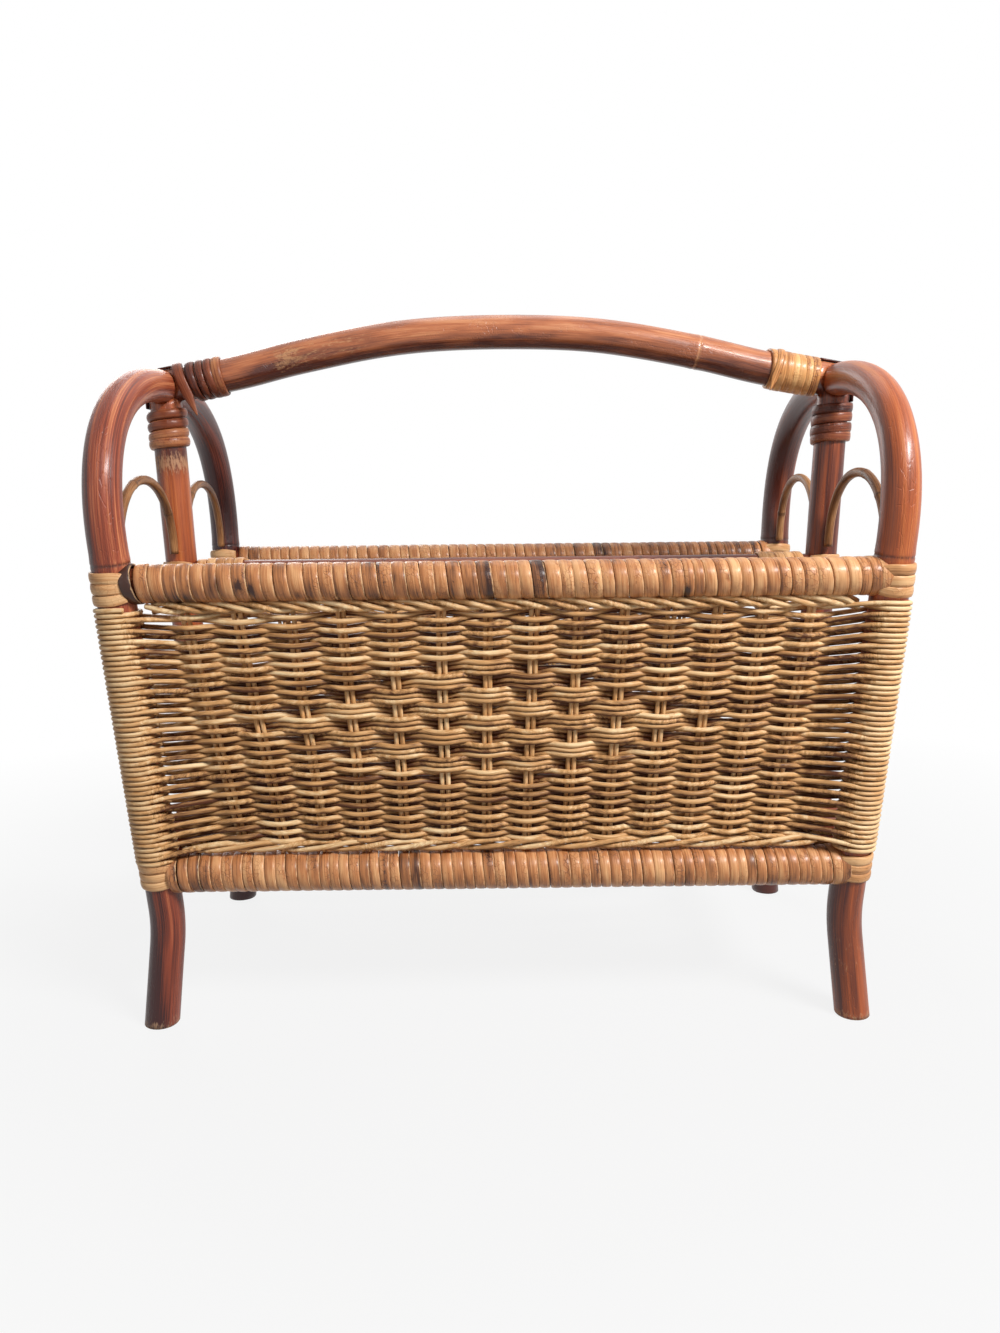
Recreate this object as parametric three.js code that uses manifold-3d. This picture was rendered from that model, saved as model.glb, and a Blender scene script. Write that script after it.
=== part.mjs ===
// Rattan magazine basket: two bent end arches, a bent carry handle, peel-wrapped rails,
// woven reed front and back panels, a bare divider rail and a floor of rattan rods.
// Millimetres. X runs along the width, Y from front to back, Z up; the feet stand on Z = 0.

import * as THREE from "three";
import { mergeVertices } from "three/addons/utils/BufferGeometryUtils.js";
import Module from "manifold-3d";

const wasm = await Module();
wasm.setup();

// Heights above the floor, at the pole centrelines
const bottomRailHeight = 95;
const rimHeight = 273;
const archTopHeight = 393;
const handleTopHeight = 426;
const dividerDrop = 3;

// Half widths and half depths of the frame, at the pole centrelines
const footHalfWidth = 214.5;
const bottomHalfWidth = 209.8;
const rimHalfWidth = 218;
const archTopHalfWidth = 221;
const footHalfDepth = 101;
const bottomHalfDepth = 99.5;
const rimHalfDepth = 120;

// Poles
const archPoleDiameter = 21;
const handlePoleDiameter = 21.5;
const centrePostDiameter = 20.4;
const dividerDiameter = 19;
const railCoreDiameter = 17.2;
const endRailDiameter = 18;
const baseRodDiameter = 11;
const caneLoopDiameter = 5.6;

// Bends of the arches: how far the post runs straight past each rail, how round it goes over, and the leg's bend
const straightPastRim = 20;
const straightPastBottomRail = 20;
const legBend = 26;
const archRiseShare = 0.6;
const archReachShare = 0.74;
const footTrim = 8;

// Rise of the handle's centreline, as shares of its half span and of its rise
const handleSpanShares = [0, 0.294, 0.593, 0.774, 1];
const handleRiseShares = [1, 0.912, 0.566, 0.28, 0];

// Clearance between pieces that touch
const gap = 0.3;

// Flat peel wound side by side round the rails
const topPeelPitch = 7.55;
const bottomPeelPitch = 6.95;
const peelThickness = 1.4;
const peelValleyDepth = 0.7;
const wrapEndGap = 1;

// Peel wound round the joints
const leftHandlePitch = 5.7;
const rightHandlePitch = 4.7;
const postBindingPitch = 6.6;
const bindingBandGap = 0.75;
const bindingThickness = 2;
const leftHandleTurns = 5;
const rightHandleTurns = 7;
const postBindingTurns = 4;
const bindingStart = 0.9;
const postBindingStart = 0.9;

// Divider wrapping: short ribbed sleeves at both ends
const dividerWrapTurns = 5;
const dividerWrapPitch = 6.2;

// Cane straps: three strands side by side round a post, gripping the end of a rail
const strapStrands = 3;
const strapStrandWidth = 6.4;
const strapThickness = 1.2;
const strapValleyDepth = 0.7;
const handleStrapWidth = 9;

// Woven panels: a crest where a row passes outside a pair of stakes, a hollow where it passes inside
const stakeColumns = 14;
const weaveRows = 50;
const stakeInsetTop = 45;
const stakeInsetBottom = 40;
const weaveCrest = 3.9;
const weaveHollow = 1.3;
const reedDiameter = 2.8;
const laceThickness = 2.4;

// Diamond in the middle of the weave, where rows run three together
const diamondTopRow = 11;
const diamondGroups = 9;
const diamondColumn = 7;
const rowsTogether = 3;

// Borders between the panels and the rails
const borderDiameter = 7.5;
const borderInset = 22;

// Floor of the basket
const baseRodsEachSide = 3;
const baseRodSpacing = 24;
const baseRodPostRoom = 5;
const baseRodOverhang = 4;

// Inverted loops of thin cane at the open ends
const loopRiseShare = 0.49;
const loopRoundnessShare = 0.6;

// Facets
const poleSides = 12;
const thinSides = 8;
const loopSides = 6;
const archSteps = 48;
const handleSteps = 22;
const loopSteps = 18;
const windingSteps = 12;
const ringSides = 8;
const strapSteps = 6;
const cutOverrun = 12;

// Radii that follow from the diameters
const archRadius = archPoleDiameter / 2;
const handleRadius = handlePoleDiameter / 2;
const centrePostRadius = centrePostDiameter / 2;
const dividerRadius = dividerDiameter / 2;
const railCoreRadius = railCoreDiameter / 2;
const endRailRadius = endRailDiameter / 2;
const baseRodRadius = baseRodDiameter / 2;
const loopRadius = caneLoopDiameter / 2;
const borderRadius = borderDiameter / 2;
const wrapRadius = faceted(railCoreRadius + gap, ringSides) + peelThickness;
const dividerWrapRadius = faceted(dividerRadius + gap, ringSides) + peelThickness;
const strapHalfHeight = (strapStrands * strapStrandWidth) / 2;
const strapInnerRadius = faceted(archRadius + gap, poleSides);
const dividerHeight = rimHeight - dividerDrop;
const postLean = (rimHalfDepth - bottomHalfDepth) / (rimHeight - bottomRailHeight);

// Finishes
const poleFinish = finish(0x96502e, 0.38);
const handleFinish = finish(0xa8623a, 0.4);
const darkFinish = finish(0x5a2620, 0.42);
const peelFinish = finish(0xb57f50, 0.42);
const reedFinish = finish(0xc49a62, 0.6);
const caneFinish = finish(0xcda06c, 0.5);
const goldenFinish = finish(0xc98a50, 0.45);

// A standard material of one colour
function finish(colour, roughness) {
  return new THREE.MeshStandardMaterial({ color: colour, roughness, metalness: 0 });
}

// Corner radius of a ring of flat sides whose flats lie at the given radius
function faceted(radius, sides) {
  return radius / Math.cos(Math.PI / sides);
}

// Centre of a leaning post at a height, between and beyond the two rails
function postPoint(sideX, sideY, height) {
  const share = (height - bottomRailHeight) / (rimHeight - bottomRailHeight);
  const x = THREE.MathUtils.lerp(bottomHalfWidth, rimHalfWidth, share);
  const y = THREE.MathUtils.lerp(bottomHalfDepth, rimHalfDepth, share);
  return new THREE.Vector3(sideX * x, sideY * y, height);
}

// Centre of a centre post at a height, on the line from the end rail to the top of the arch
function centrePostPoint(sideX, height) {
  const share = (height - bottomRailHeight) / (archTopHeight - bottomRailHeight);
  return new THREE.Vector3(sideX * THREE.MathUtils.lerp(bottomHalfWidth, archTopHalfWidth, share), 0, height);
}

// Round section of a pole
function roundSection(radius, sides) {
  const points = [];
  for (let i = 0; i < sides; i += 1) {
    const angle = (2 * Math.PI * i) / sides;
    points.push(new THREE.Vector2(radius * Math.cos(angle), radius * Math.sin(angle)));
  }
  return new THREE.Shape(points);
}

// Solid round pole along a curve
function pole(path, radius, steps, sides = poleSides) {
  return new THREE.ExtrudeGeometry(roundSection(radius, sides), {
    extrudePath: path,
    steps,
    bevelEnabled: false,
  });
}

// Straight round pole between two points
function straightPole(from, to, radius, sides = poleSides) {
  return pole(new THREE.LineCurve3(from, to), radius, 1, sides);
}

// Closed three.js geometry as a solid for cutting and joining
function toSolid(geometry) {
  const bare = geometry.clone();
  bare.deleteAttribute("normal");
  bare.deleteAttribute("uv");
  const merged = mergeVertices(bare);
  return new wasm.Manifold(
    new wasm.Mesh({
      numProp: 3,
      vertProperties: merged.attributes.position.array,
      triVerts: Uint32Array.from(merged.index.array),
    }),
  );
}

// Cut or joined solid back as a three.js geometry
function toGeometry(solid) {
  const mesh = solid.getMesh();
  const geometry = new THREE.BufferGeometry();
  geometry.setAttribute("position", new THREE.BufferAttribute(mesh.vertProperties, 3));
  geometry.setIndex(new THREE.BufferAttribute(mesh.triVerts, 1));
  geometry.computeVertexNormals();
  return geometry;
}

// Geometry with others cut away
function cut(geometry, ...tools) {
  return toGeometry(tools.reduce((solid, tool) => solid.subtract(toSolid(tool)), toSolid(geometry)));
}

// Closed body through equal rings of points, capped at both ends
function loft(rings) {
  const size = rings[0].length;
  const positions = rings.flat().flatMap((point) => [point.x, point.y, point.z]);
  const index = [];
  for (let ring = 0; ring + 1 < rings.length; ring += 1) {
    for (let i = 0; i < size; i += 1) {
      const a = ring * size + i;
      const b = ring * size + ((i + 1) % size);
      index.push(a, b, b + size, a, b + size, a + size);
    }
  }
  const last = (rings.length - 1) * size;
  for (let i = 1; i + 1 < size; i += 1) {
    index.push(0, i + 1, i);
    index.push(last, last + i, last + i + 1);
  }
  const geometry = new THREE.BufferGeometry();
  geometry.setAttribute("position", new THREE.Float32BufferAttribute(positions, 3));
  geometry.setIndex(index);
  geometry.computeVertexNormals();
  return geometry;
}

// Centreline of an end arch, from below the front foot over the top to below the back foot
function archPath(sideX) {
  const path = new THREE.CurvePath();
  const apex = new THREE.Vector3(sideX * archTopHalfWidth, 0, archTopHeight);
  const halves = [-1, 1].map((sideY) => {
    const foot = new THREE.Vector3(sideX * footHalfWidth, sideY * footHalfDepth, 0);
    const legCorner = postPoint(sideX, sideY, bottomRailHeight - straightPastBottomRail - legBend / 2);
    const legStart = postPoint(sideX, sideY, legCorner.z + legBend / 2);
    const legDirection = foot.clone().sub(legCorner).normalize();
    const legEnd = legCorner.clone().addScaledVector(legDirection, legBend / 2);
    const below = foot.clone().addScaledVector(legDirection, footTrim);
    const shoulder = postPoint(sideX, sideY, rimHeight + straightPastRim);
    const climb = postPoint(sideX, sideY, THREE.MathUtils.lerp(shoulder.z, apex.z, archRiseShare));
    const reach = (shoulder.y - apex.y) * archReachShare;
    return [
      [below, legEnd],
      [legEnd, legCorner, legStart],
      [legStart, shoulder],
      [shoulder, climb, apex.clone().add(new THREE.Vector3(0, reach, 0)), apex],
    ];
  });
  const backwards = halves[1].map((piece) => [...piece].reverse()).reverse();
  for (const points of [...halves[0], ...backwards]) {
    const kinds = { 2: THREE.LineCurve3, 3: THREE.QuadraticBezierCurve3, 4: THREE.CubicBezierCurve3 };
    path.add(new kinds[points.length](...points));
  }
  return path;
}

// One end arch, its feet cut flat on the floor
function endArch(sideX) {
  const floorBlock = new THREE.BoxGeometry(
    archPoleDiameter * 4,
    (footHalfDepth + archPoleDiameter) * 2,
    footTrim * 2 + cutOverrun * 2,
  );
  floorBlock.translate(sideX * footHalfWidth, 0, -footTrim - cutOverrun);
  return cut(pole(archPath(sideX), archRadius, archSteps), floorBlock);
}

// Room that a piece seated on an arch leaves for it
function archClearance(sideX, extra = 0) {
  return pole(archPath(sideX), faceted(archRadius + gap + extra, poleSides), archSteps);
}

// Centreline of the carry handle, apex to apex
function handlePath() {
  const rise = handleTopHeight - archTopHeight;
  const half = handleSpanShares.map(
    (share, i) => new THREE.Vector3(share * archTopHalfWidth, 0, archTopHeight + rise * handleRiseShares[i]),
  );
  const mirrored = half.slice(1).map((point) => new THREE.Vector3(-point.x, 0, point.z));
  return new THREE.CatmullRomCurve3([...mirrored.reverse(), ...half], false, "centripetal");
}

// Carry handle, its ends hollowed to sit against the arches
function carryHandle() {
  const body = pole(handlePath(), handleRadius, handleSteps);
  const ends = [-1, 1].flatMap((side) => [
    archClearance(side),
    outsideOfArch(side),
    centrePostRoom(side, archTopHeight - archPoleDiameter * 2, archTopHeight),
  ]);
  return cut(body, ...ends);
}

// Room that a piece seated on a centre post leaves for it, between two heights
function centrePostRoom(sideX, low, high) {
  const radius = faceted(centrePostRadius + gap, poleSides);
  return straightPole(centrePostPoint(sideX, low), centrePostPoint(sideX, high), radius);
}

// Block that takes away what a handle end leaves beyond an arch's centreline
function outsideOfArch(sideX) {
  const block = new THREE.BoxGeometry(handlePoleDiameter * 2, handlePoleDiameter * 2, handlePoleDiameter * 3);
  block.translate(sideX * (archTopHalfWidth + handlePoleDiameter), 0, archTopHeight);
  return block;
}

// Centre post from the end rail up to the underside of the arch
function centrePost(sideX) {
  const from = centrePostPoint(sideX, bottomRailHeight);
  const to = centrePostPoint(sideX, archTopHeight);
  const endRailRoom = straightPole(
    new THREE.Vector3(from.x, -bottomHalfDepth, bottomRailHeight),
    new THREE.Vector3(from.x, bottomHalfDepth, bottomRailHeight),
    faceted(endRailRadius + gap, poleSides),
  );
  const below = new THREE.BoxGeometry(centrePostDiameter * 2, centrePostDiameter * 2, endRailDiameter * 2);
  below.translate(from.x, 0, bottomRailHeight - endRailDiameter);
  const above = new THREE.BoxGeometry(centrePostDiameter * 2, centrePostDiameter * 2, archPoleDiameter * 2);
  above.translate(to.x, 0, archTopHeight + archPoleDiameter);
  return cut(straightPole(from, to, centrePostRadius), endRailRoom, below, archClearance(sideX), above);
}

// Bare rail between the centre posts, its ends hollowed to sit against them
function dividerRail() {
  const ends = [-1, 1].map((side) => centrePostPoint(side, dividerHeight));
  const rooms = [-1, 1].map((side) =>
    centrePostRoom(side, dividerHeight - dividerDiameter, dividerHeight + dividerDiameter),
  );
  return cut(straightPole(ends[0], ends[1], dividerRadius), ...rooms);
}

// Core of a long rail at a height, between the posts of the front or the back
function longRail(sideY, height) {
  const ends = [-1, 1].map((side) => postPoint(side, sideY, height));
  return cut(straightPole(ends[0], ends[1], railCoreRadius), archClearance(-1), archClearance(1));
}

// Sleeve of peel wound side by side along X, centred on x = 0 before it is moved
function ribbedSleeve(halfLength, innerRadius, pitch, thickness, valleyDepth) {
  const bore = faceted(innerRadius, ringSides);
  const outer = bore + thickness;
  const turns = Math.max(1, Math.round((2 * halfLength) / pitch));
  const step = (2 * halfLength) / turns;
  const profile = [new THREE.Vector2(bore, -halfLength)];
  for (let i = 0; i < turns; i += 1) {
    profile.push(new THREE.Vector2(outer - valleyDepth, -halfLength + step * i));
    profile.push(new THREE.Vector2(outer, -halfLength + step * (i + 1 / 2)));
  }
  profile.push(new THREE.Vector2(outer - valleyDepth, halfLength));
  profile.push(new THREE.Vector2(bore, halfLength));
  profile.push(new THREE.Vector2(bore, -halfLength));
  const sleeve = new THREE.LatheGeometry(profile, ringSides);
  sleeve.rotateZ(-Math.PI / 2);
  return sleeve;
}

// Half length of a rail's wrapping, up to the posts
function wrapHalfLength(height) {
  return postPoint(1, 1, height).x - archRadius - wrapEndGap;
}

// Peel wrapping of a long rail
function railWrap(sideY, height, pitch) {
  const half = wrapHalfLength(height);
  const sleeve = ribbedSleeve(half, railCoreRadius + gap, pitch, peelThickness, peelValleyDepth);
  const centre = postPoint(1, sideY, height);
  sleeve.translate(0, centre.y, centre.z);
  return sleeve;
}

// Peel wrapping at one end of the divider rail
function dividerWrap(sideX) {
  const half = (dividerWrapTurns * dividerWrapPitch) / 2;
  const sleeve = ribbedSleeve(half, dividerRadius + gap, dividerWrapPitch, peelThickness, peelValleyDepth);
  const end = centrePostPoint(1, dividerHeight).x - centrePostRadius - wrapEndGap;
  sleeve.translate(sideX * (end - half), 0, dividerHeight);
  return sleeve;
}

// Rings of a flat band wound helically round an axis; at(distance) gives the axis point and its directions
function windingRings(at, radius, turns, pitch) {
  const rings = [];
  const inner = faceted(radius + gap, windingSteps);
  const outer = inner + bindingThickness;
  const halfWidth = (pitch - bindingBandGap) / 2;
  const steps = Math.round(turns * windingSteps);
  for (let i = 0; i <= steps; i += 1) {
    const angle = (2 * Math.PI * i) / windingSteps;
    const frame = at((pitch * i) / windingSteps + halfWidth);
    const radial = frame.side
      .clone()
      .multiplyScalar(Math.cos(angle))
      .addScaledVector(frame.other, Math.sin(angle));
    const corner = (distance, along) =>
      frame.point.clone().addScaledVector(radial, distance).addScaledVector(frame.along, along);
    rings.push([
      corner(inner, -halfWidth),
      corner(inner, halfWidth),
      corner(outer, halfWidth),
      corner(outer, -halfWidth),
    ]);
  }
  return rings;
}

// Least distance between neighbouring turns of a winding, from points on its band
function windingSelfGap(rings) {
  let least = Infinity;
  rings.forEach((ring, i) => {
    rings.slice(i + windingSteps / 2).forEach((other) => {
      for (const point of ring) {
        for (const far of other) least = Math.min(least, point.distanceTo(far));
      }
    });
  });
  return least;
}

// Winding as one unbroken band, with its self gap printed
function winding(label, at, radius, turns, pitch) {
  const rings = windingRings(at, radius, turns, pitch);
  console.log(`${label}: least gap between turns ${windingSelfGap(rings).toFixed(2)} mm`);
  return loft(rings);
}

// Winding round a handle end, starting beside the arch
function handleBinding(sideX, turns, pitch) {
  const path = handlePath();
  const length = path.getLength();
  const offset = archRadius + bindingStart;
  const at = (distance) => {
    const share = (offset + distance) / length;
    const u = sideX < 0 ? share : 1 - share;
    const along = path.getTangentAt(u).multiplyScalar(-sideX);
    const other = new THREE.Vector3(0, 1, 0);
    return { point: path.getPointAt(u), along, side: other.clone().cross(along), other };
  };
  return winding(sideX < 0 ? "left handle binding" : "right handle binding", at, handleRadius, turns, pitch);
}

// Winding round the head of a centre post, starting under the arch
function postBinding(sideX) {
  const top = centrePostPoint(sideX, archTopHeight);
  const along = centrePostPoint(sideX, bottomRailHeight).sub(top).normalize();
  const other = new THREE.Vector3(0, 1, 0);
  const side = other.clone().cross(along);
  const offset = archRadius + postBindingStart;
  const at = (distance) => ({
    point: top.clone().addScaledVector(along, offset + distance),
    along,
    side,
    other,
  });
  const label = sideX < 0 ? "left post binding" : "right post binding";
  return winding(label, at, centrePostRadius, postBindingTurns, postBindingPitch);
}

// Section of a strap of several strands side by side: height along the post, thickness away from it
function strandSection(strands, strandWidth, thickness, valleyDepth) {
  const half = (strands * strandWidth) / 2;
  const points = [[0, half], [0, -half]];
  for (let i = 0; i < strands; i += 1) {
    const start = -half + strandWidth * i;
    points.push([thickness - valleyDepth, start]);
    points.push([thickness, start + strandWidth / 3]);
    points.push([thickness, start + (strandWidth * 2) / 3]);
  }
  points.push([thickness - valleyDepth, half]);
  return points;
}

// Strap bent round a pole from one outward direction to another, with a straight leg at each end
function strap({ centre, axis, from, to, innerRadius, legs, section }) {
  const bend = from.angleTo(to);
  const reach = faceted(innerRadius, 2 * strapSteps);
  const stations = [];
  for (let i = 0; i <= strapSteps; i += 1) {
    const normal = from.clone().applyAxisAngle(axis, (bend * i) / strapSteps);
    stations.push({ base: normal.clone().multiplyScalar(reach), normal });
  }
  const first = stations[0].base.clone().addScaledVector(axis.clone().cross(from), -legs[0]);
  const last = stations[strapSteps].base.clone().addScaledVector(axis.clone().cross(to), legs[1]);
  const path = [{ base: last, normal: to }, ...stations.reverse(), { base: first, normal: from }];
  const rings = path.map(({ base, normal }) =>
    section.map(([thick, high]) =>
      centre.clone().add(base).addScaledVector(normal, thick).addScaledVector(axis, high),
    ),
  );
  return loft(rings);
}

// Strap round the outer side of a post, its legs along the rail that butts against the post
function postStrap(sideX, centre, above, radius) {
  const axis = above.clone().sub(centre).normalize();
  const across = axis.clone().cross(new THREE.Vector3(sideX, 0, 0)).normalize();
  return strap({
    centre,
    axis,
    from: across.clone().negate(),
    to: across,
    innerRadius: radius + gap,
    legs: [radius, radius],
    section: strandSection(strapStrands, strapStrandWidth, strapThickness, strapValleyDepth),
  });
}

// Strap at the corner where a long rail meets an arch
function cornerStrap(sideX, sideY, height) {
  const above = postPoint(sideX, sideY, height + strapHalfHeight);
  return postStrap(sideX, postPoint(sideX, sideY, height), above, archRadius);
}

// Strap that ties the divider rail to a centre post
function dividerStrap(sideX) {
  const above = centrePostPoint(sideX, dividerHeight + strapHalfHeight);
  return postStrap(sideX, centrePostPoint(sideX, dividerHeight), above, centrePostRadius);
}

// Strap from the head of the centre post over the arch onto the top of the handle
function handleStrap(sideX) {
  const axis = new THREE.Vector3(0, -sideX, 0);
  const centre = new THREE.Vector3(sideX * archTopHalfWidth, 0, archTopHeight);
  const down = centrePostPoint(sideX, bottomRailHeight).sub(centre).normalize();
  const inward = handlePath().getTangentAt(sideX < 0 ? 0 : 1).multiplyScalar(-sideX);
  return strap({
    centre,
    axis,
    from: axis.clone().cross(down),
    to: inward.clone().cross(axis),
    innerRadius: Math.max(archRadius, handleRadius) + gap,
    legs: [archRadius + postBindingStart - gap, archRadius + bindingStart - gap],
    section: strandSection(1, handleStrapWidth, strapThickness, strapValleyDepth),
  });
}

// Half width of the panel at a stake column, at a height
function stakeX(column, height) {
  const share = (height - bottomRailHeight) / (rimHeight - bottomRailHeight);
  const inset = THREE.MathUtils.lerp(stakeInsetBottom, stakeInsetTop, share);
  const half = postPoint(1, 1, height).x - inset;
  return -half + (2 * half * column) / (stakeColumns - 1);
}

// Height where the woven panel starts above the bottom border, and where it ends under the top border
function panelHeights() {
  const border = borderDiameter + gap * 2;
  return [bottomRailHeight + wrapRadius + border, rimHeight - wrapRadius - border];
}

// 1 where a row passes outside a pair of stakes, -1 where it passes inside
function weaveState(row, column) {
  const sign = (row + column) % 2 === 0 ? 1 : -1;
  const group = Math.floor((row - diamondTopRow) / rowsTogether);
  const middle = (row - diamondTopRow) % rowsTogether === 1;
  const reach = 1 + Math.min(group, diamondGroups - 1 - group);
  const inDiamond = group >= 0 && group < diamondGroups && Math.abs(column - diamondColumn) <= reach;
  return middle && inDiamond ? -sign : sign;
}

// One surface of the weave from the bottom up, a row of points for each row of reed: facing 1 looks out, -1 in
function weaveSurface(sideY, facing) {
  const [start, end] = panelHeights();
  const pitch = (end - start) / weaveRows;
  const surface = [];
  for (let row = weaveRows + 1; row >= 0; row -= 1) {
    const height = THREE.MathUtils.clamp(end - (row - 1 / 2) * pitch, start, end);
    const edge = row === 0 || row > weaveRows;
    const depth = postPoint(1, 1, height).y;
    const points = [];
    for (let column = 1; column <= stakeColumns; column += 1) {
      const outside = weaveState(row, column) === facing ? weaveCrest : weaveHollow;
      const offset = edge ? (weaveCrest + weaveHollow) / 2 : outside;
      points.push(new THREE.Vector3(stakeX(column - 1, height), sideY * (depth + facing * offset), height));
    }
    surface.push(points);
  }
  return surface;
}

// Weave between the first and last pair of stakes, its crests and hollows on both surfaces
function weaveSlab(sideY) {
  const surfaces = [weaveSurface(sideY, 1), weaveSurface(sideY, -1)];
  const [levels, across] = [surfaces[0].length, stakeColumns];
  const points = surfaces.flat(2);
  const at = (surface, level, column) => (surface * levels + level) * across + column;
  const raised = (i) => Math.abs(Math.abs(points[i].y) - postPoint(1, 1, points[i].z).y);
  const index = [];
  const quad = (a, b, c, d) => {
    const hollowsJoined = raised(a) + raised(c) > raised(b) + raised(d);
    index.push(...(hollowsJoined ? [a, b, d, b, c, d] : [a, b, c, a, c, d]));
  };
  for (let level = 0; level + 1 < levels; level += 1) {
    for (let column = 0; column + 1 < across; column += 1) {
      quad(at(0, level, column), at(0, level, column + 1), at(0, level + 1, column + 1), at(0, level + 1, column));
      quad(at(1, level, column), at(1, level + 1, column), at(1, level + 1, column + 1), at(1, level, column + 1));
    }
    quad(at(0, level, 0), at(0, level + 1, 0), at(1, level + 1, 0), at(1, level, 0));
    const last = across - 1;
    quad(at(0, level, last), at(1, level, last), at(1, level + 1, last), at(0, level + 1, last));
  }
  for (let column = 0; column + 1 < across; column += 1) {
    const top = levels - 1;
    quad(at(0, 0, column), at(1, 0, column), at(1, 0, column + 1), at(0, 0, column + 1));
    quad(at(0, top, column), at(0, top, column + 1), at(1, top, column + 1), at(1, top, column));
  }
  if (sideY > 0) {
    for (let i = 0; i < index.length; i += 3) [index[i], index[i + 1]] = [index[i + 1], index[i]];
  }
  const geometry = new THREE.BufferGeometry();
  geometry.setAttribute("position", new THREE.Float32BufferAttribute(points.flatMap((p) => [p.x, p.y, p.z]), 3));
  geometry.setIndex(index);
  return geometry;
}

// Reed that leaves the last pair of stakes and forks to pass a post outside and inside
function laceFork(sideX, sideY) {
  const near = archRadius + gap;
  const root = weaveHollow - gap;
  const rings = panelHeights().map((height) => {
    const post = postPoint(1, 1, height);
    const stake = stakeX(stakeColumns - 1, height);
    return [
      [stake + reedDiameter / 2, 0],
      [post.x, near],
      [post.x, near + reedDiameter],
      [stake - reedDiameter / 2, root],
      [stake - reedDiameter / 2, -root],
      [post.x, -near - reedDiameter],
      [post.x, -near],
    ].map(([x, out]) => new THREE.Vector3(sideX * x, sideY * (post.y + out), height));
  });
  return loft(sideX * sideY > 0 ? rings : rings.reverse());
}

// Reed laced round a post, as a sleeve from rail to rail
function laceSleeve(sideX, sideY, radius, extra = 0) {
  const room = Math.max(strapHalfHeight, wrapRadius) + gap + radius * postLean - extra;
  const start = bottomRailHeight + room;
  const end = rimHeight - room;
  return straightPole(postPoint(sideX, sideY, start), postPoint(sideX, sideY, end), radius);
}

// Woven panel of the front or the back, with the reed that it laces round both posts
function wovenPanel(sideY) {
  const outer = strapInnerRadius + laceThickness;
  const added = [-1, 1].flatMap((side) => [laceSleeve(side, sideY, outer), laceFork(side, sideY)]);
  const bores = [-1, 1].map((side) => toSolid(laceSleeve(side, sideY, strapInnerRadius, cutOverrun)));
  const joined = added.reduce((solid, part) => solid.add(toSolid(part)), toSolid(weaveSlab(sideY)));
  return toGeometry(bores.reduce((solid, bore) => solid.subtract(bore), joined));
}

// Twisted reed border between a panel and the rail next to it
function reedBorder(sideY, height) {
  const centre = postPoint(1, sideY, height);
  const half = centre.x - borderInset;
  return straightPole(
    new THREE.Vector3(-half, centre.y, height),
    new THREE.Vector3(half, centre.y, height),
    borderRadius,
    thinSides,
  );
}

// End rail at the bottom, between the straps of the front and back corners
function endRail(sideX) {
  const strapOuter = faceted(archRadius + gap, 2 * strapSteps) + strapThickness;
  const half = bottomHalfDepth - strapOuter - gap - strapHalfHeight * postLean;
  return straightPole(
    new THREE.Vector3(sideX * bottomHalfWidth, -half, bottomRailHeight),
    new THREE.Vector3(sideX * bottomHalfWidth, half, bottomRailHeight),
    endRailRadius,
  );
}

// Rod of the basket's floor, lying on both end rails
function baseRod(sideY, number) {
  const half = bottomHalfWidth + endRailRadius + baseRodOverhang;
  const first = centrePostRadius + baseRodPostRoom + baseRodRadius;
  const y = sideY * (first + number * baseRodSpacing);
  const z = bottomRailHeight + endRailRadius + baseRodRadius + gap;
  const from = new THREE.Vector3(-half, y, z);
  return straightPole(from, new THREE.Vector3(half, y, z), baseRodRadius, thinSides);
}

// Inverted loop of thin cane between an arch leg and the centre post
function caneLoop(sideX, sideY) {
  const footHeight = rimHeight + strapHalfHeight + gap + (archRadius + caneLoopDiameter) * postLean;
  const post = postPoint(sideX, sideY, footHeight);
  const centre = centrePostPoint(sideX, footHeight);
  const outer = post.clone();
  outer.y -= sideY * (archRadius + gap * 2 + loopRadius);
  const inner = centre.clone();
  inner.y += sideY * (centrePostRadius + gap * 2 + loopRadius);
  const topHeight = THREE.MathUtils.lerp(rimHeight, archTopHeight, loopRiseShare);
  const top = new THREE.Vector3(sideX * archTopHalfWidth, (outer.y + inner.y) / 2, topHeight);
  top.x = (outer.x + inner.x) / 2;
  const path = new THREE.CurvePath();
  for (const [from, to] of [[outer, top], [top, inner]]) {
    const foot = to === top ? from : to;
    const high = new THREE.Vector3(foot.x, foot.y, foot.z + (top.z - foot.z) * loopRoundnessShare);
    const near = new THREE.Vector3(top.x, top.y + (foot.y - top.y) * loopRoundnessShare, top.z);
    const middle = to === top ? [high, near] : [near, high];
    path.add(new THREE.CubicBezierCurve3(from, ...middle, to));
  }
  return pole(path, loopRadius, loopSteps, loopSides);
}

const basket = new THREE.Group();

// Adds one named piece to the basket
function addPiece(name, geometry, material) {
  const mesh = new THREE.Mesh(geometry, material);
  mesh.name = name;
  basket.add(mesh);
}

const sides = [["left", -1], ["right", 1]];
const faces = [["front", -1], ["back", 1]];
const levels = [["top", rimHeight, topPeelPitch], ["bottom", bottomRailHeight, bottomPeelPitch]];

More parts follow.
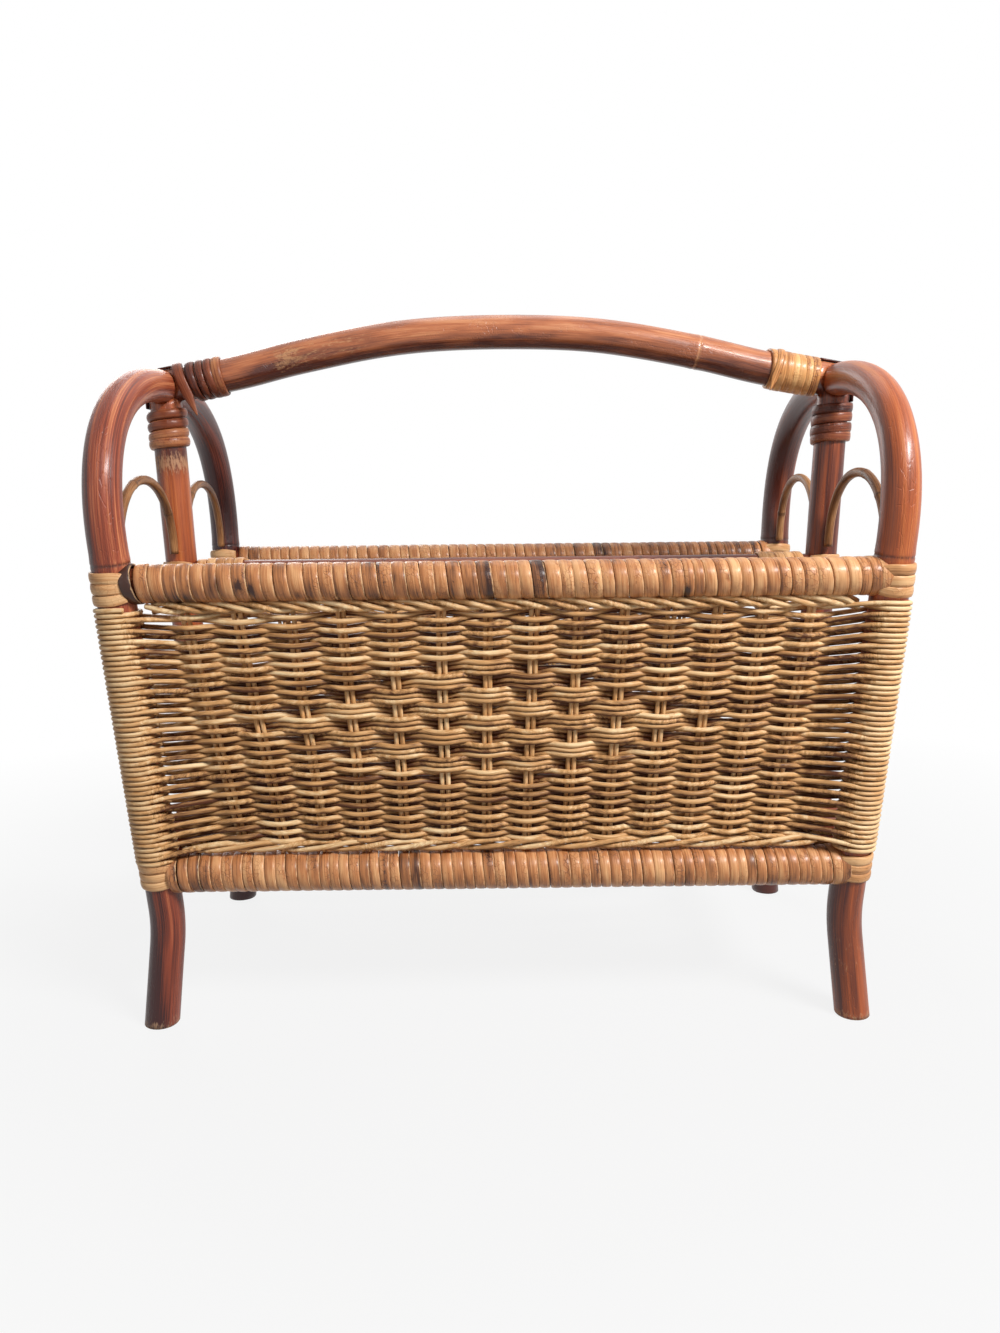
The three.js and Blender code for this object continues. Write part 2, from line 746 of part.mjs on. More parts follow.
for (const [side, sideX] of sides) {
  addPiece(`${side}_arch`, endArch(sideX), poleFinish);
  addPiece(`${side}_centre_post`, centrePost(sideX), poleFinish);
  addPiece(`${side}_end_rail`, endRail(sideX), poleFinish);
  addPiece(`${side}_handle_strap`, handleStrap(sideX), darkFinish);
  addPiece(`${side}_post_binding`, postBinding(sideX), peelFinish);
  addPiece(`${side}_divider_binding`, dividerWrap(sideX), caneFinish);
  addPiece(`${side}_divider_strap`, dividerStrap(sideX), caneFinish);
  for (const [face, sideY] of faces) {
    addPiece(`${side}_${face}_cane_loop`, caneLoop(sideX, sideY), caneFinish);
    for (const [level, height] of levels) {
      addPiece(`${side}_${face}_${level}_strap`, cornerStrap(sideX, sideY, height), caneFinish);
    }
  }
}

addPiece("left_handle_binding", handleBinding(-1, leftHandleTurns, leftHandlePitch), darkFinish);
addPiece("right_handle_binding", handleBinding(1, rightHandleTurns, rightHandlePitch), goldenFinish);
addPiece("carry_handle", carryHandle(), handleFinish);
addPiece("divider_rail", dividerRail(), darkFinish);

for (const [face, sideY] of faces) {
  addPiece(`${face}_woven_panel`, wovenPanel(sideY), reedFinish);
  const [panelStart, panelEnd] = panelHeights();
  addPiece(`${face}_top_border`, reedBorder(sideY, panelEnd + gap + borderRadius), reedFinish);
  addPiece(`${face}_bottom_border`, reedBorder(sideY, panelStart - gap - borderRadius), reedFinish);
  for (const [level, height, pitch] of levels) {
    addPiece(`${face}_${level}_rail`, longRail(sideY, height), poleFinish);
    addPiece(`${face}_${level}_rail_wrap`, railWrap(sideY, height, pitch), peelFinish);
  }
}

for (const [face, sideY] of faces) {
  for (let number = 0; number < baseRodsEachSide; number += 1) {
    addPiece(`${face}_base_rod_${number + 1}`, baseRod(sideY, number), poleFinish);
  }
}

export default basket;
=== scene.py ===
"""Looks of a rattan magazine basket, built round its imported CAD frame.

Two bent end arches carry a bent handle, peel-wrapped rails and two woven reed
panels. Every piece is swept strand by strand from the same sizes as the part's
source. Sizes here are in millimetres, and become metres when a piece is made.
"""

import logging
import math
from dataclasses import dataclass, field
from enum import Enum
from functools import cache
from typing import Callable

import bpy
import numpy as np
from mathutils import Matrix, Vector


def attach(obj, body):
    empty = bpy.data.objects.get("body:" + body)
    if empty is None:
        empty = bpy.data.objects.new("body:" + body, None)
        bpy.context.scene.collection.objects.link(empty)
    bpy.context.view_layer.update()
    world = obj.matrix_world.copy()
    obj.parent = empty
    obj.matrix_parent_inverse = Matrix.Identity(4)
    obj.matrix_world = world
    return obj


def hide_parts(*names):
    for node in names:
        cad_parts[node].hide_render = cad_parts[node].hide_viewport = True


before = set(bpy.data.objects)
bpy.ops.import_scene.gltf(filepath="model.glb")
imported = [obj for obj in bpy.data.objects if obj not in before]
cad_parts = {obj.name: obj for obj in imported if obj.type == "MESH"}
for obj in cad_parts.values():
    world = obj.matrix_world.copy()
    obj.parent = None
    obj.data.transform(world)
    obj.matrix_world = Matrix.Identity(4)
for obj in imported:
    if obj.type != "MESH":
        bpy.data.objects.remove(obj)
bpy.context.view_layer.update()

Array = np.ndarray
Axis = Callable[[Array], tuple[Array, Array, Array, Array]]
Colour = tuple[float, float, float]
Point = tuple[float, float, float]
Spots = tuple[tuple[float, float, float], ...]
MM = 0.001
X_AXIS, Y_AXIS, Z_AXIS = np.eye(3)
log = logging.getLogger("magazine_basket")

# How much a rounded end narrows, and how far along the grain strands are shifted.
END_SHRINK = 0.8
GRAIN_REACH = 4000


class Side(Enum):
    """End of the rack, with its direction along X."""

    LEFT = -1
    RIGHT = 1


class Face(Enum):
    """Long face of the rack, with its direction along Y."""

    FRONT = -1
    BACK = 1


class Level(Enum):
    """Height at which a long rail runs."""

    TOP = "top"
    BOTTOM = "bottom"


def label(*parts: Enum | str) -> str:
    """Name of a piece from its places and its kind."""
    return "_".join(part if isinstance(part, str) else part.name.lower() for part in parts)


# Curves


def bezier(points: list[Array], count: int) -> Array:
    """Points along a Bezier curve of any degree.

    Args:
        points: Control points of the curve.
        count: Number of points to return.

    Returns:
        Array of the curve's points, one row each.
    """
    share = np.linspace(0, 1, count)[:, None]
    level = [np.broadcast_to(p, (count, 3)) for p in points]
    while len(level) > 1:
        level = [a + (b - a) * share for a, b in zip(level, level[1:])]
    return np.array(level[0])


def lengths(path: Array) -> Array:
    """Distance of each point from the start, along a path."""
    return np.concatenate([[0], np.cumsum(np.linalg.norm(np.diff(path, axis=0), axis=1))])


def resample(path: Array, stations: Array) -> Array:
    """Points of a path at given distances from its start.

    Args:
        path: Points of the path.
        stations: Distances along it, in millimetres.

    Returns:
        One point for each station.
    """
    along = lengths(path)
    return columns(*[np.interp(stations, along, path[:, k]) for k in range(3)])


def evenly(path: Array, spacing: float, extra: tuple[float, ...] = ()) -> Array:
    """Even distances along a path, with closer ones near some places.

    Args:
        path: Points of the path.
        spacing: Usual distance between stations.
        extra: Distances round which stations lie closer together.

    Returns:
        Sorted distances along the path.
    """
    total = lengths(path)[-1]
    stations = list(np.linspace(0, total, max(2, int(round(total / spacing)) + 1)))
    for place in extra:
        near = (-3.2, -1.6, -0.8, -0.3, 0.3, 0.8, 1.6, 3.2)
        stations = [s for s in stations if abs(s - place) > 3.6]
        stations += [place + step for step in near if 0 < place + step < total]
    return np.array(sorted(stations))


def unit(vectors: Array) -> Array:
    """Vectors at length one."""
    return vectors / np.maximum(np.linalg.norm(vectors, axis=-1, keepdims=True), 1e-9)


def frames(path: Array, reference: Array) -> tuple[Array, Array, Array]:
    """Directions along a path and two across it.

    Args:
        path: Points of the path.
        reference: Direction that the first cross direction stays close to.

    Returns:
        Directions along, first across and second across, one row a point.
    """
    along = unit(np.gradient(path, axis=0))
    wish = np.broadcast_to(np.asarray(reference, float), along.shape)
    first = unit(wish - (wish * along).sum(1, keepdims=True) * along)
    return along, first, np.cross(along, first)


def columns(*values: Array) -> Array:
    """Points, one a row, from their places along X, Y and Z."""
    return np.stack(values, axis=1)


def around(first: Array, second: Array, angle: Array) -> Array:
    """Directions at angles round a line, from two directions across it."""
    return first * np.cos(angle)[:, None] + second * np.sin(angle)[:, None]


def soften(points: Array) -> Array:
    """Points with each one drawn towards its neighbours, ends kept."""
    result = points.copy()
    result[1:-1] = 0.25 * points[:-2] + 0.5 * points[1:-1] + 0.25 * points[2:]
    return result


def wander(rng: np.random.Generator, stations: Array, reach: float) -> Array:
    """Smooth random values, about -1 to 1, that change over a given distance.

    Args:
        rng: Seeded source of numbers.
        stations: Distances at which values are wanted.
        reach: Distance over which they change.

    Returns:
        One value for each station.
    """
    first, last = float(stations.min()), float(stations.max())
    knots = np.arange(first - 2 * reach, last + 3 * reach, reach)
    values = rng.uniform(-1, 1, len(knots))
    place = (stations - knots[0]) / reach
    low = np.clip(place.astype(int), 0, len(knots) - 2)
    share = place - low
    ease = share * share * (3 - 2 * share)
    return values[low] * (1 - ease) + values[low + 1] * ease


def bump(values: Array, centre: float, width: float) -> Array:
    """Bell that is one at a centre and falls off over a width."""
    return np.exp(-(((values - centre) / width) ** 2))


def bumps(values: Array, spots: Spots) -> Array:
    """Sum of bells, each given by its centre, width and height."""
    return sum(height * bump(values, centre, width) for centre, width, height in spots)


def ramp(values: Array) -> Array:
    """Values kept between zero and one."""
    return np.clip(values, 0, 1)


# Sizes


@dataclass(frozen=True)
class RackSizes:
    """Driving sizes of the rack, in millimetres, as in the part's source."""

    bottom_rail_height: float = 95.0
    rim_height: float = 273.0
    arch_top_height: float = 393.0
    handle_top_height: float = 426.0
    divider_drop: float = 3.0
    foot_half_width: float = 214.5
    bottom_half_width: float = 209.8
    rim_half_width: float = 218.0
    arch_top_half_width: float = 221.0
    foot_half_depth: float = 101.0
    bottom_half_depth: float = 99.5
    rim_half_depth: float = 120.0
    arch_radius: float = 10.5
    handle_radius: float = 10.75
    centre_post_radius: float = 10.2
    divider_radius: float = 9.5
    rail_core_radius: float = 8.6
    end_rail_radius: float = 9.0
    base_rod_radius: float = 5.5
    loop_radius: float = 2.8
    wrap_radius: float = 11.0
    strap_half_height: float = 9.6
    loop_rise_share: float = 0.49
    loop_gap: float = 0.6

    def share(self, height: float | Array) -> float | Array:
        """Share of the way from the bottom rails to the rim."""
        return (height - self.bottom_rail_height) / (self.rim_height - self.bottom_rail_height)

    def post_x(self, height: float | Array) -> float | Array:
        """Half width of the rack between post centres at a height."""
        return self.bottom_half_width + (self.rim_half_width - self.bottom_half_width) * self.share(height)

    def post_y(self, height: float | Array) -> float | Array:
        """Half depth of the rack between post centres at a height."""
        return self.bottom_half_depth + (self.rim_half_depth - self.bottom_half_depth) * self.share(height)

    @property
    def lean(self) -> float:
        """How far a post leans outwards for each millimetre of height."""
        return (self.rim_half_depth - self.bottom_half_depth) / (self.rim_height - self.bottom_rail_height)

    @property
    def divider_height(self) -> float:
        """Height of the divider rail."""
        return self.rim_height - self.divider_drop

    def rail_height(self, level: Level) -> float:
        """Height of the long rails of a level."""
        return self.rim_height if level is Level.TOP else self.bottom_rail_height

    def post_point(self, side: Side, face: Face, height: float) -> Array:
        """Centre of a leaning post at a height."""
        return np.array([side.value * self.post_x(height), face.value * self.post_y(height), height])

    def centre_post_point(self, side: Side, height: float) -> Array:
        """Centre of a centre post at a height."""
        share = (height - self.bottom_rail_height) / (self.arch_top_height - self.bottom_rail_height)
        x = self.bottom_half_width + (self.arch_top_half_width - self.bottom_half_width) * share
        return np.array([side.value * x, 0.0, height])

    def arch_top(self, side: Side) -> Array:
        """Centre of an arch at its top."""
        return np.array([side.value * self.arch_top_half_width, 0.0, self.arch_top_height])

    def arch_path(self, side: Side) -> Array:
        """Centreline of an end arch, from the front foot to the back foot.

        Args:
            side: End of the rack.

        Returns:
            Points of the line, a little below the floor at both ends.
        """
        apex = self.arch_top(side)
        halves = []
        for face in Face:
            foot = np.array([side.value * self.foot_half_width, face.value * self.foot_half_depth, 0.0])
            corner = self.post_point(side, face, self.bottom_rail_height - 33)
            leg_start = self.post_point(side, face, corner[2] + 13)
            direction = unit(foot - corner)
            leg_end = corner + direction * 13
            shoulder = self.post_point(side, face, self.rim_height + 20)
            climb = self.post_point(side, face, shoulder[2] + (apex[2] - shoulder[2]) * 0.6)
            reach = np.array([0, shoulder[1] * 0.74, 0])
            halves.append(np.concatenate([
                bezier([foot + direction * 1.5, leg_end], 30),
                bezier([leg_end, corner, leg_start], 12)[1:],
                bezier([leg_start, shoulder], 60)[1:],
                bezier([shoulder, climb, apex + reach, apex], 110)[1:],
            ]))
        return np.concatenate([halves[0], halves[1][::-1][1:]])

    def handle_path(self) -> Array:
        """Centreline of the carry handle, from the left arch's top to the right one's.

        Returns:
            Points of the line.
        """
        spans, rises = (0, 0.294, 0.593, 0.774, 1), (1, 0.912, 0.566, 0.28, 0)
        rise = self.handle_top_height - self.arch_top_height
        half = [
            np.array([span * self.arch_top_half_width, 0, self.arch_top_height + rise * share])
            for span, share in zip(spans, rises)
        ]
        knots = [p * np.array([-1, 1, 1]) for p in half[:0:-1]] + half
        knots = [2 * knots[0] - knots[1], *knots, 2 * knots[-1] - knots[-2]]
        pieces = []
        for a, b, c, d in zip(knots, knots[1:], knots[2:], knots[3:]):
            gaps = [max(np.linalg.norm(q - p) ** 0.5, 1e-6) for p, q in ((a, b), (b, c), (c, d))]
            leave = ((b - a) / gaps[0] - (c - a) / (gaps[0] + gaps[1]) + (c - b) / gaps[1]) * gaps[1]
            arrive = ((c - b) / gaps[1] - (d - b) / (gaps[1] + gaps[2]) + (d - c) / gaps[2]) * gaps[1]
            pieces.append(bezier([b, b + leave / 3, c - arrive / 3, c], 24)[:-1])
        return np.concatenate([*pieces, knots[-2][None]])

    def loop_path(self, side: Side, face: Face) -> Array:
        """Centreline of an inverted cane loop beside an arch leg.

        Args:
            side: End of the rack.
            face: Face that its outer foot stands near.

        Returns:
            Points of the line, from the outer foot over the top to the inner one.
        """
        over_strap = 0.3 + (self.arch_radius + 2 * self.loop_radius) * self.lean
        low = self.rim_height + self.strap_half_height + over_strap
        outer = self.post_point(side, face, low)
        outer[1] -= face.value * (self.arch_radius + self.loop_gap + self.loop_radius)
        inner = self.centre_post_point(side, low)
        inner[1] += face.value * (self.centre_post_radius + self.loop_gap + self.loop_radius)
        top = (outer + inner) / 2
        top[2] = self.rim_height + (self.arch_top_height - self.rim_height) * self.loop_rise_share
        halves = []
        for foot in (outer, inner):
            high = foot + np.array([0, 0, (top[2] - low) * 0.6])
            near = top + np.array([0, (foot[1] - top[1]) * 0.6, 0])
            halves.append(bezier([foot, high, near, top], 40))
        return np.concatenate([halves[0], halves[1][::-1][1:]])


# Meshes


def circle(sides: int) -> tuple[Array, Array]:
    """Cosine and sine of each side of a tube, shaped to multiply its rings."""
    angle = 2 * np.pi * np.arange(sides) / sides
    return np.cos(angle)[None, :, None], np.sin(angle)[None, :, None]


def marks_around(marks: Array | None, count: int, sides: int) -> Array:
    """Marks of each point and side, from none, one row a point, or all of them."""
    if marks is None:
        return np.zeros((count, sides, 3))
    return marks if marks.ndim == 3 else np.repeat(marks[:, None], sides, axis=1)


@dataclass
class PieceMesh:
    """Gathers the strands of one piece, with what its finish reads from them.

    The finish reads three attributes: grain, a place in the strand in
    millimetres (two across and one along), strand, the strand's own tint, and
    marks, which holds growth ring, tone and wear. Tone also carries painted
    shade and painted light, and wear the painted highlights on peel edges.
    """

    name: str
    points: list[Array] = field(default_factory=list)
    faces: list[Array] = field(default_factory=list)
    grain: list[Array] = field(default_factory=list)
    strand: list[Array] = field(default_factory=list)
    marks: list[Array] = field(default_factory=list)
    count: int = 0

    def add_rings(self, rings: Array, grain: Array, tint: Array, marks: Array) -> None:
        """Adds one closed strand through equal rings of points.

        Args:
            rings: Points, as rings by points by three.
            grain: Place in the strand of each point, same shape.
            tint: Tint of each ring.
            marks: Growth ring, tone and wear of each point.
        """
        total, sides = rings.shape[:2]

        def closed(values: Array) -> Array:
            """Values of all points, then the means of both end rings."""
            return np.concatenate([values.reshape(-1, 3), [values[0].mean(0), values[-1].mean(0)]])

        index = self.count + np.arange(total * sides).reshape(total, sides)
        following = np.roll(index, -1, axis=1)
        quads = np.stack([index[:-1], following[:-1], following[1:], index[1:]], axis=-1).reshape(-1, 4)
        first, last = self.count + total * sides, self.count + total * sides + 1
        caps = np.concatenate([
            np.stack([np.full(sides, first), following[0], index[0], index[0]], axis=-1),
            np.stack([np.full(sides, last), index[-1], following[-1], following[-1]], axis=-1),
        ])
        self.points.append(closed(rings))
        self.faces.append(np.concatenate([quads, caps]))
        self.grain.append(closed(grain))
        self.strand.append(np.concatenate([np.repeat(tint, sides), [tint[0], tint[-1]]]))
        self.marks.append(closed(marks))
        self.count += total * sides + 2

    def add_tube(
        self,
        path: Array,
        radius: float | Array,
        reference: Array,
        sides: int = 8,
        tint: float | Array = 0.5,
        marks: Array | None = None,
        rounding: tuple[float, float] = (0.3, 0.3),
        offset: float = 0.0,
        ends: tuple[Callable[[Array], Array] | None, Callable[[Array], Array] | None] = (None, None),
    ) -> None:
        """Adds a round strand along a path.

        Args:
            path: Points of its centreline.
            radius: Radius, one for all, one a point, or one a point and side.
            reference: Direction that fixes where its sides start.
            sides: Number of sides.
            tint: Tint, one for all or one a point.
            marks: Growth ring, tone and wear, one row a point or a point and side.
            rounding: Share of the radius by which its start is rounded off and its end dished in.
            offset: Shift along the grain, so that strands differ.
            ends: Shapes its first and last ring, as where it is seated on a pole.
        """
        count = len(path)
        radii = np.asarray(radius, float)
        if radii.ndim < 2:
            radii = radii.reshape(-1, 1)
        radii = np.broadcast_to(radii, (count, sides))
        tints = np.broadcast_to(np.asarray(tint, float), (count,))
        marked = marks_around(marks, count, sides)
        along, first, second = frames(path, reference)
        place = lengths(path)
        for end, share in zip((0, -1), rounding):
            if share <= 0:
                continue
            where = 1 if end == 0 else len(path)
            inward = radii[end].mean() * (share if end == 0 else -share)
            path = np.insert(path, where, path[end] + along[end] * inward, axis=0)
            place = np.insert(place, end or 1, place[end] + inward)
            along, first, second, radii, marked, tints = (
                np.insert(values, where, values[end], axis=0)
                for values in (along, first, second, radii, marked, tints)
            )
            radii[end] *= 1 - share * END_SHRINK
        order = np.argsort(place, kind="stable")
        path, place, along, first, second, radii, marked, tints = (
            values[order] for values in (path, place, along, first, second, radii, marked, tints)
        )
        cosine, sine = circle(sides)
        across = radii[..., None] * cosine * first[:, None] + radii[..., None] * sine * second[:, None]
        rings = path[:, None] + across
        for end, shape in zip((0, -1), ends):
            if shape is not None:
                rings[end] = shape(rings[end])
        grain = np.stack([
            radii * cosine[..., 0],
            radii * sine[..., 0],
            np.broadcast_to(place[:, None] + offset, radii.shape),
        ], axis=-1)
        self.add_rings(rings, grain, tints, marked)

    def add_band(
        self,
        path: Array,
        outward: Array,
        across: Array,
        profile: Array,
        tint: float | Array = 0.5,
        marks: Array | None = None,
        offset: float = 0.0,
        widths: Array | None = None,
        lifts: Array | None = None,
    ) -> None:
        """Adds a flat strand along a path.

        Args:
            path: Points of the line under its middle.
            outward: Direction of its thickness at each point.
            across: Direction of its width at each point.
            profile: Its section, as places across and outwards.
            tint: Tint, one for all or one a point.
            marks: Growth ring, tone and wear, one row a point.
            offset: Shift along the grain, so that strands differ.
            widths: Share of its width at each point.
            lifts: How far it is raised at each point.
        """
        count, sides = len(path), len(profile)
        width = np.ones(count) if widths is None else widths
        lift = np.zeros(count) if lifts is None else lifts
        u = profile[None, :, 0] * width[:, None]
        h = profile[None, :, 1] + lift[:, None]
        rings = path[:, None] + across[:, None] * u[..., None] + outward[:, None] * h[..., None]
        turned = np.cross(across[0], outward[0]) @ (path[1] - path[0])
        grain = np.stack([u, h, np.broadcast_to(lengths(path)[:, None] + offset, u.shape)], axis=-1)
        marked = marks_around(marks, count, sides)
        if turned < 0:
            rings, grain, marked = rings[:, ::-1], grain[:, ::-1], marked[:, ::-1]
        self.add_rings(rings, grain, np.broadcast_to(np.asarray(tint, float), (count,)), marked)

    def make(self, finish: "CaneFinish", *nodes: str) -> bpy.types.Object:
        """Makes the piece, dresses it and puts it in place of its CAD nodes.

        Args:
            finish: Its finish.
            nodes: CAD nodes that it stands for.

        Returns:
            The new object, riding on the rack.
        """
        points = np.concatenate(self.points) * MM
        faces = np.concatenate(self.faces)
        corners = np.where(faces[:, 2] == faces[:, 3], 3, 4)
        loops = faces[np.arange(4)[None, :] < corners[:, None]]
        mesh = bpy.data.meshes.new(self.name)
        mesh.vertices.add(len(points))
        mesh.vertices.foreach_set("co", points.astype(np.float32).ravel())
        mesh.loops.add(len(loops))
        mesh.loops.foreach_set("vertex_index", loops.astype(np.int32))
        mesh.polygons.add(len(faces))
        mesh.polygons.foreach_set("loop_start", (np.cumsum(corners) - corners).astype(np.int32))
        mesh.polygons.foreach_set("use_smooth", np.ones(len(faces), bool))
        for label, kind, values in (
            ("grain", "FLOAT_VECTOR", self.grain),
            ("strand", "FLOAT", self.strand),
            ("marks", "FLOAT_VECTOR", self.marks),
        ):
            key = "vector" if kind == "FLOAT_VECTOR" else "value"
            attribute = mesh.attributes.new(label, kind, "POINT")
            attribute.data.foreach_set(key, np.concatenate(values).astype(np.float32).ravel())
        mesh.update(calc_edges=True)
        mesh.validate()
        mesh.materials.append(finish.material())
        piece = bpy.data.objects.new(self.name, mesh)
        bpy.context.scene.collection.objects.link(piece)
        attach(piece, "root")
        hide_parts(*nodes)
        log.info("%s: %d faces, in place of %s", self.name, len(faces), ", ".join(nodes))
        return piece


# Finishes


def linear(colour: Colour) -> tuple[float, float, float, float]:
    """Colour of 0 to 255 as Blender's linear one."""
    parts = [c / 255 for c in colour]
    return (*[p / 12.92 if p <= 0.04045 else ((p + 0.055) / 1.055) ** 2.4 for p in parts], 1.0)


class NodeDesk:
    """Lays out and joins the nodes of one material or group."""

    def __init__(self, tree: bpy.types.NodeTree) -> None:
        """Starts with the tree's nodes cleared."""
        self.tree = tree
        tree.nodes.clear()

    def add(self, kind: str, **settings: object) -> bpy.types.Node:
        """Adds a node.

        Args:
            kind: Its type name, without the ShaderNode in front.
            settings: Properties, or sockets by name with _ for a space.

        Returns:
            The new node.
        """
        name = kind if kind.startswith("NodeGroup") else f"ShaderNode{kind}"
        node = self.tree.nodes.new(name)
        self.give(node, **settings)
        return node

    def give(self, node: bpy.types.Node, **settings: object) -> None:
        """Sets a node's properties, and sets or joins its sockets."""
        for key, value in settings.items():
            if hasattr(node, key):
                setattr(node, key, value)
            else:
                self.feed(node.inputs[key.replace("_", " ")], value)

    def feed(self, socket: bpy.types.NodeSocket, value: object) -> None:
        """Joins an output to a socket, or sets the socket's value."""
        if isinstance(value, bpy.types.NodeSocket):
            self.tree.links.new(value, socket)
        else:
            socket.default_value = value

    def joined(self, kind: str, *values: object, **settings: object) -> bpy.types.NodeSocket:
        """First output of a new node whose first sockets get some values."""
        node = self.add(kind, **settings)
        for socket, value in zip(node.inputs, values):
            self.feed(socket, value)
        return node.outputs[0]

    def math(self, operation: str, a: object, b: object = 0.0, clamp: bool = False) -> bpy.types.NodeSocket:
        """Output of a Math node on two values."""
        return self.joined("Math", a, b, operation=operation, use_clamp=clamp)

    def spread(self, value: object, low: float, high: float) -> bpy.types.NodeSocket:
        """Value from low to high, spread over zero to one."""
        return self.joined("MapRange", value, low, high, clamp=True)

    def inverse(self, value: object) -> bpy.types.NodeSocket:
        """One less a value."""
        return self.math("SUBTRACT", 1.0, value)

    def mix(self, share: object, a: object, b: object) -> bpy.types.NodeSocket:
        """Colour mixed from two others."""
        node = self.add("Mix", data_type="RGBA", clamp_factor=True)
        for place, value in ((0, share), (6, a), (7, b)):
            self.feed(node.inputs[place], value)
        return node.outputs[2]

    def noise(self, place: object, detail: float, rough: float) -> bpy.types.NodeSocket:
        """Value of a Noise Texture at a place."""
        return self.joined("TexNoise", place, Scale=1.0, Detail=detail, Roughness=rough)


class CaneEffects:
    """The shader groups that all cane finishes share, each built once."""

    @staticmethod
    def _start(
        name: str, inputs: dict[str, str], outputs: dict[str, str]
    ) -> tuple[NodeDesk, bpy.types.Node, bpy.types.Node]:
        """Makes an empty group with its sockets.

        Args:
            name: Name of the group.
            inputs: Socket kind by input name.
            outputs: Socket kind by output name.

        Returns:
            The desk, the group's input node and its output node.
        """
        tree = bpy.data.node_groups.new(name, "ShaderNodeTree")
        for sockets, way in ((inputs, "INPUT"), (outputs, "OUTPUT")):
            for title, kind in sockets.items():
                tree.interface.new_socket(title, in_out=way, socket_type=f"NodeSocket{kind}")
        desk = NodeDesk(tree)
        return desk, desk.add("NodeGroupInput"), desk.add("NodeGroupOutput")

    @classmethod
    @cache
    def grain(cls) -> bpy.types.NodeTree:
        """Fibres and thin streaks along a strand, broad patches, flecks and dry cracks."""
        desk, given, result = cls._start(
            "cane_grain",
            {"Place": "Vector", "Shift": "Float", "Fineness": "Float", "Stretch": "Float"},
            dict.fromkeys(("Fibres", "Patches", "Flecks", "Streaks", "Cracks"), "Float"),
        )
        place, shift, fineness, stretch = given.outputs[:4]
        shifts = [desk.math("MULTIPLY", shift, reach) for reach in (41.0, 17.0, 830.0)]
        apart = desk.joined("CombineXYZ", *shifts)
        place = desk.joined("VectorMath", place, apart, operation="ADD")
        long_scale = desk.math("MULTIPLY", fineness, stretch)

        def scaled(across: float, along: float) -> bpy.types.NodeSocket:
            """Place scaled across and along the fibres."""
            wide = desk.math("MULTIPLY", fineness, across)
            scale = desk.joined("CombineXYZ", wide, wide, desk.math("MULTIPLY", long_scale, along))
            return desk.joined("VectorMath", place, scale, operation="MULTIPLY")

        vein = desk.math("SUBTRACT", desk.noise(scaled(0.6, 0.7), 3.0, 0.6), 0.5)
        cells = desk.add("TexVoronoi", feature="DISTANCE_TO_EDGE", Scale=1.0, Vector=scaled(0.34, 12.0))
        split = desk.inverse(desk.spread(cells.outputs["Distance"], 0.01, 0.07))
        dry = desk.spread(desk.noise(scaled(0.1, 1.5), 2.0, 0.5), 0.5, 0.62)
        desk.give(
            result,
            Fibres=desk.spread(desk.noise(scaled(1.0, 1.0), 4.0, 0.65), 0.3, 0.7),
            Patches=desk.spread(desk.noise(scaled(0.16, 1.4), 2.0, 0.5), 0.32, 0.68),
            Flecks=desk.spread(desk.noise(scaled(1.1, 8.0), 3.0, 0.6), 0.66, 0.74),
            Streaks=desk.inverse(desk.spread(desk.math("ABSOLUTE", vein), 0.003, 0.028)),
            Cracks=desk.math("MULTIPLY", split, dry),
        )
        return desk.tree

    @classmethod
    @cache
    def colour(cls) -> bpy.types.NodeTree:
        """Colour between a deep, a middle and a pale one."""
        desk, given, result = cls._start(
            "cane_colour",
            {"Paleness": "Float", "Deep": "Color", "Middle": "Color", "Pale": "Color"},
            {"Colour": "Color"},
        )
        value, deep, middle, pale = given.outputs[:4]
        low = desk.mix(desk.spread(value, 0.0, 0.5), deep, middle)
        desk.give(result, Colour=desk.mix(desk.spread(value, 0.5, 1.0), low, pale))
        return desk.tree

    @classmethod
    @cache
    def wear(cls) -> bpy.types.NodeTree:
        """Growth rings darkened and rubbed places laid bare; the same paleness draws the painted highlights
        on peel edges.
        """
        desk, given, result = cls._start(
            "cane_wear",
            {
                "Colour": "Color", "Marks": "Vector", "Place": "Vector",
                "Ring Colour": "Color", "Bare Colour": "Color",
            },
            {"Colour": "Color", "Bare": "Float"},
        )
        colour, marks, place, ring_colour, bare_colour = given.outputs[:5]
        ring, _, wear = desk.add("SeparateXYZ", Vector=marks).outputs
        place = desk.joined("VectorMath", place, (0.7, 0.7, 0.2), operation="MULTIPLY")
        rough = desk.noise(place, 5.0, 0.7)
        bare = desk.spread(desk.math("ADD", wear, desk.math("MULTIPLY", rough, 0.9)), 0.85, 1.0)
        ragged = desk.math("MULTIPLY", ring, desk.spread(rough, 0.3, 0.55), clamp=True)
        ringed = desk.mix(desk.math("MULTIPLY", ragged, 0.8), colour, ring_colour)
        worn = desk.mix(desk.math("MULTIPLY", bare, 0.75), ringed, bare_colour)
        desk.give(result, Colour=worn, Bare=bare)
        return desk.tree


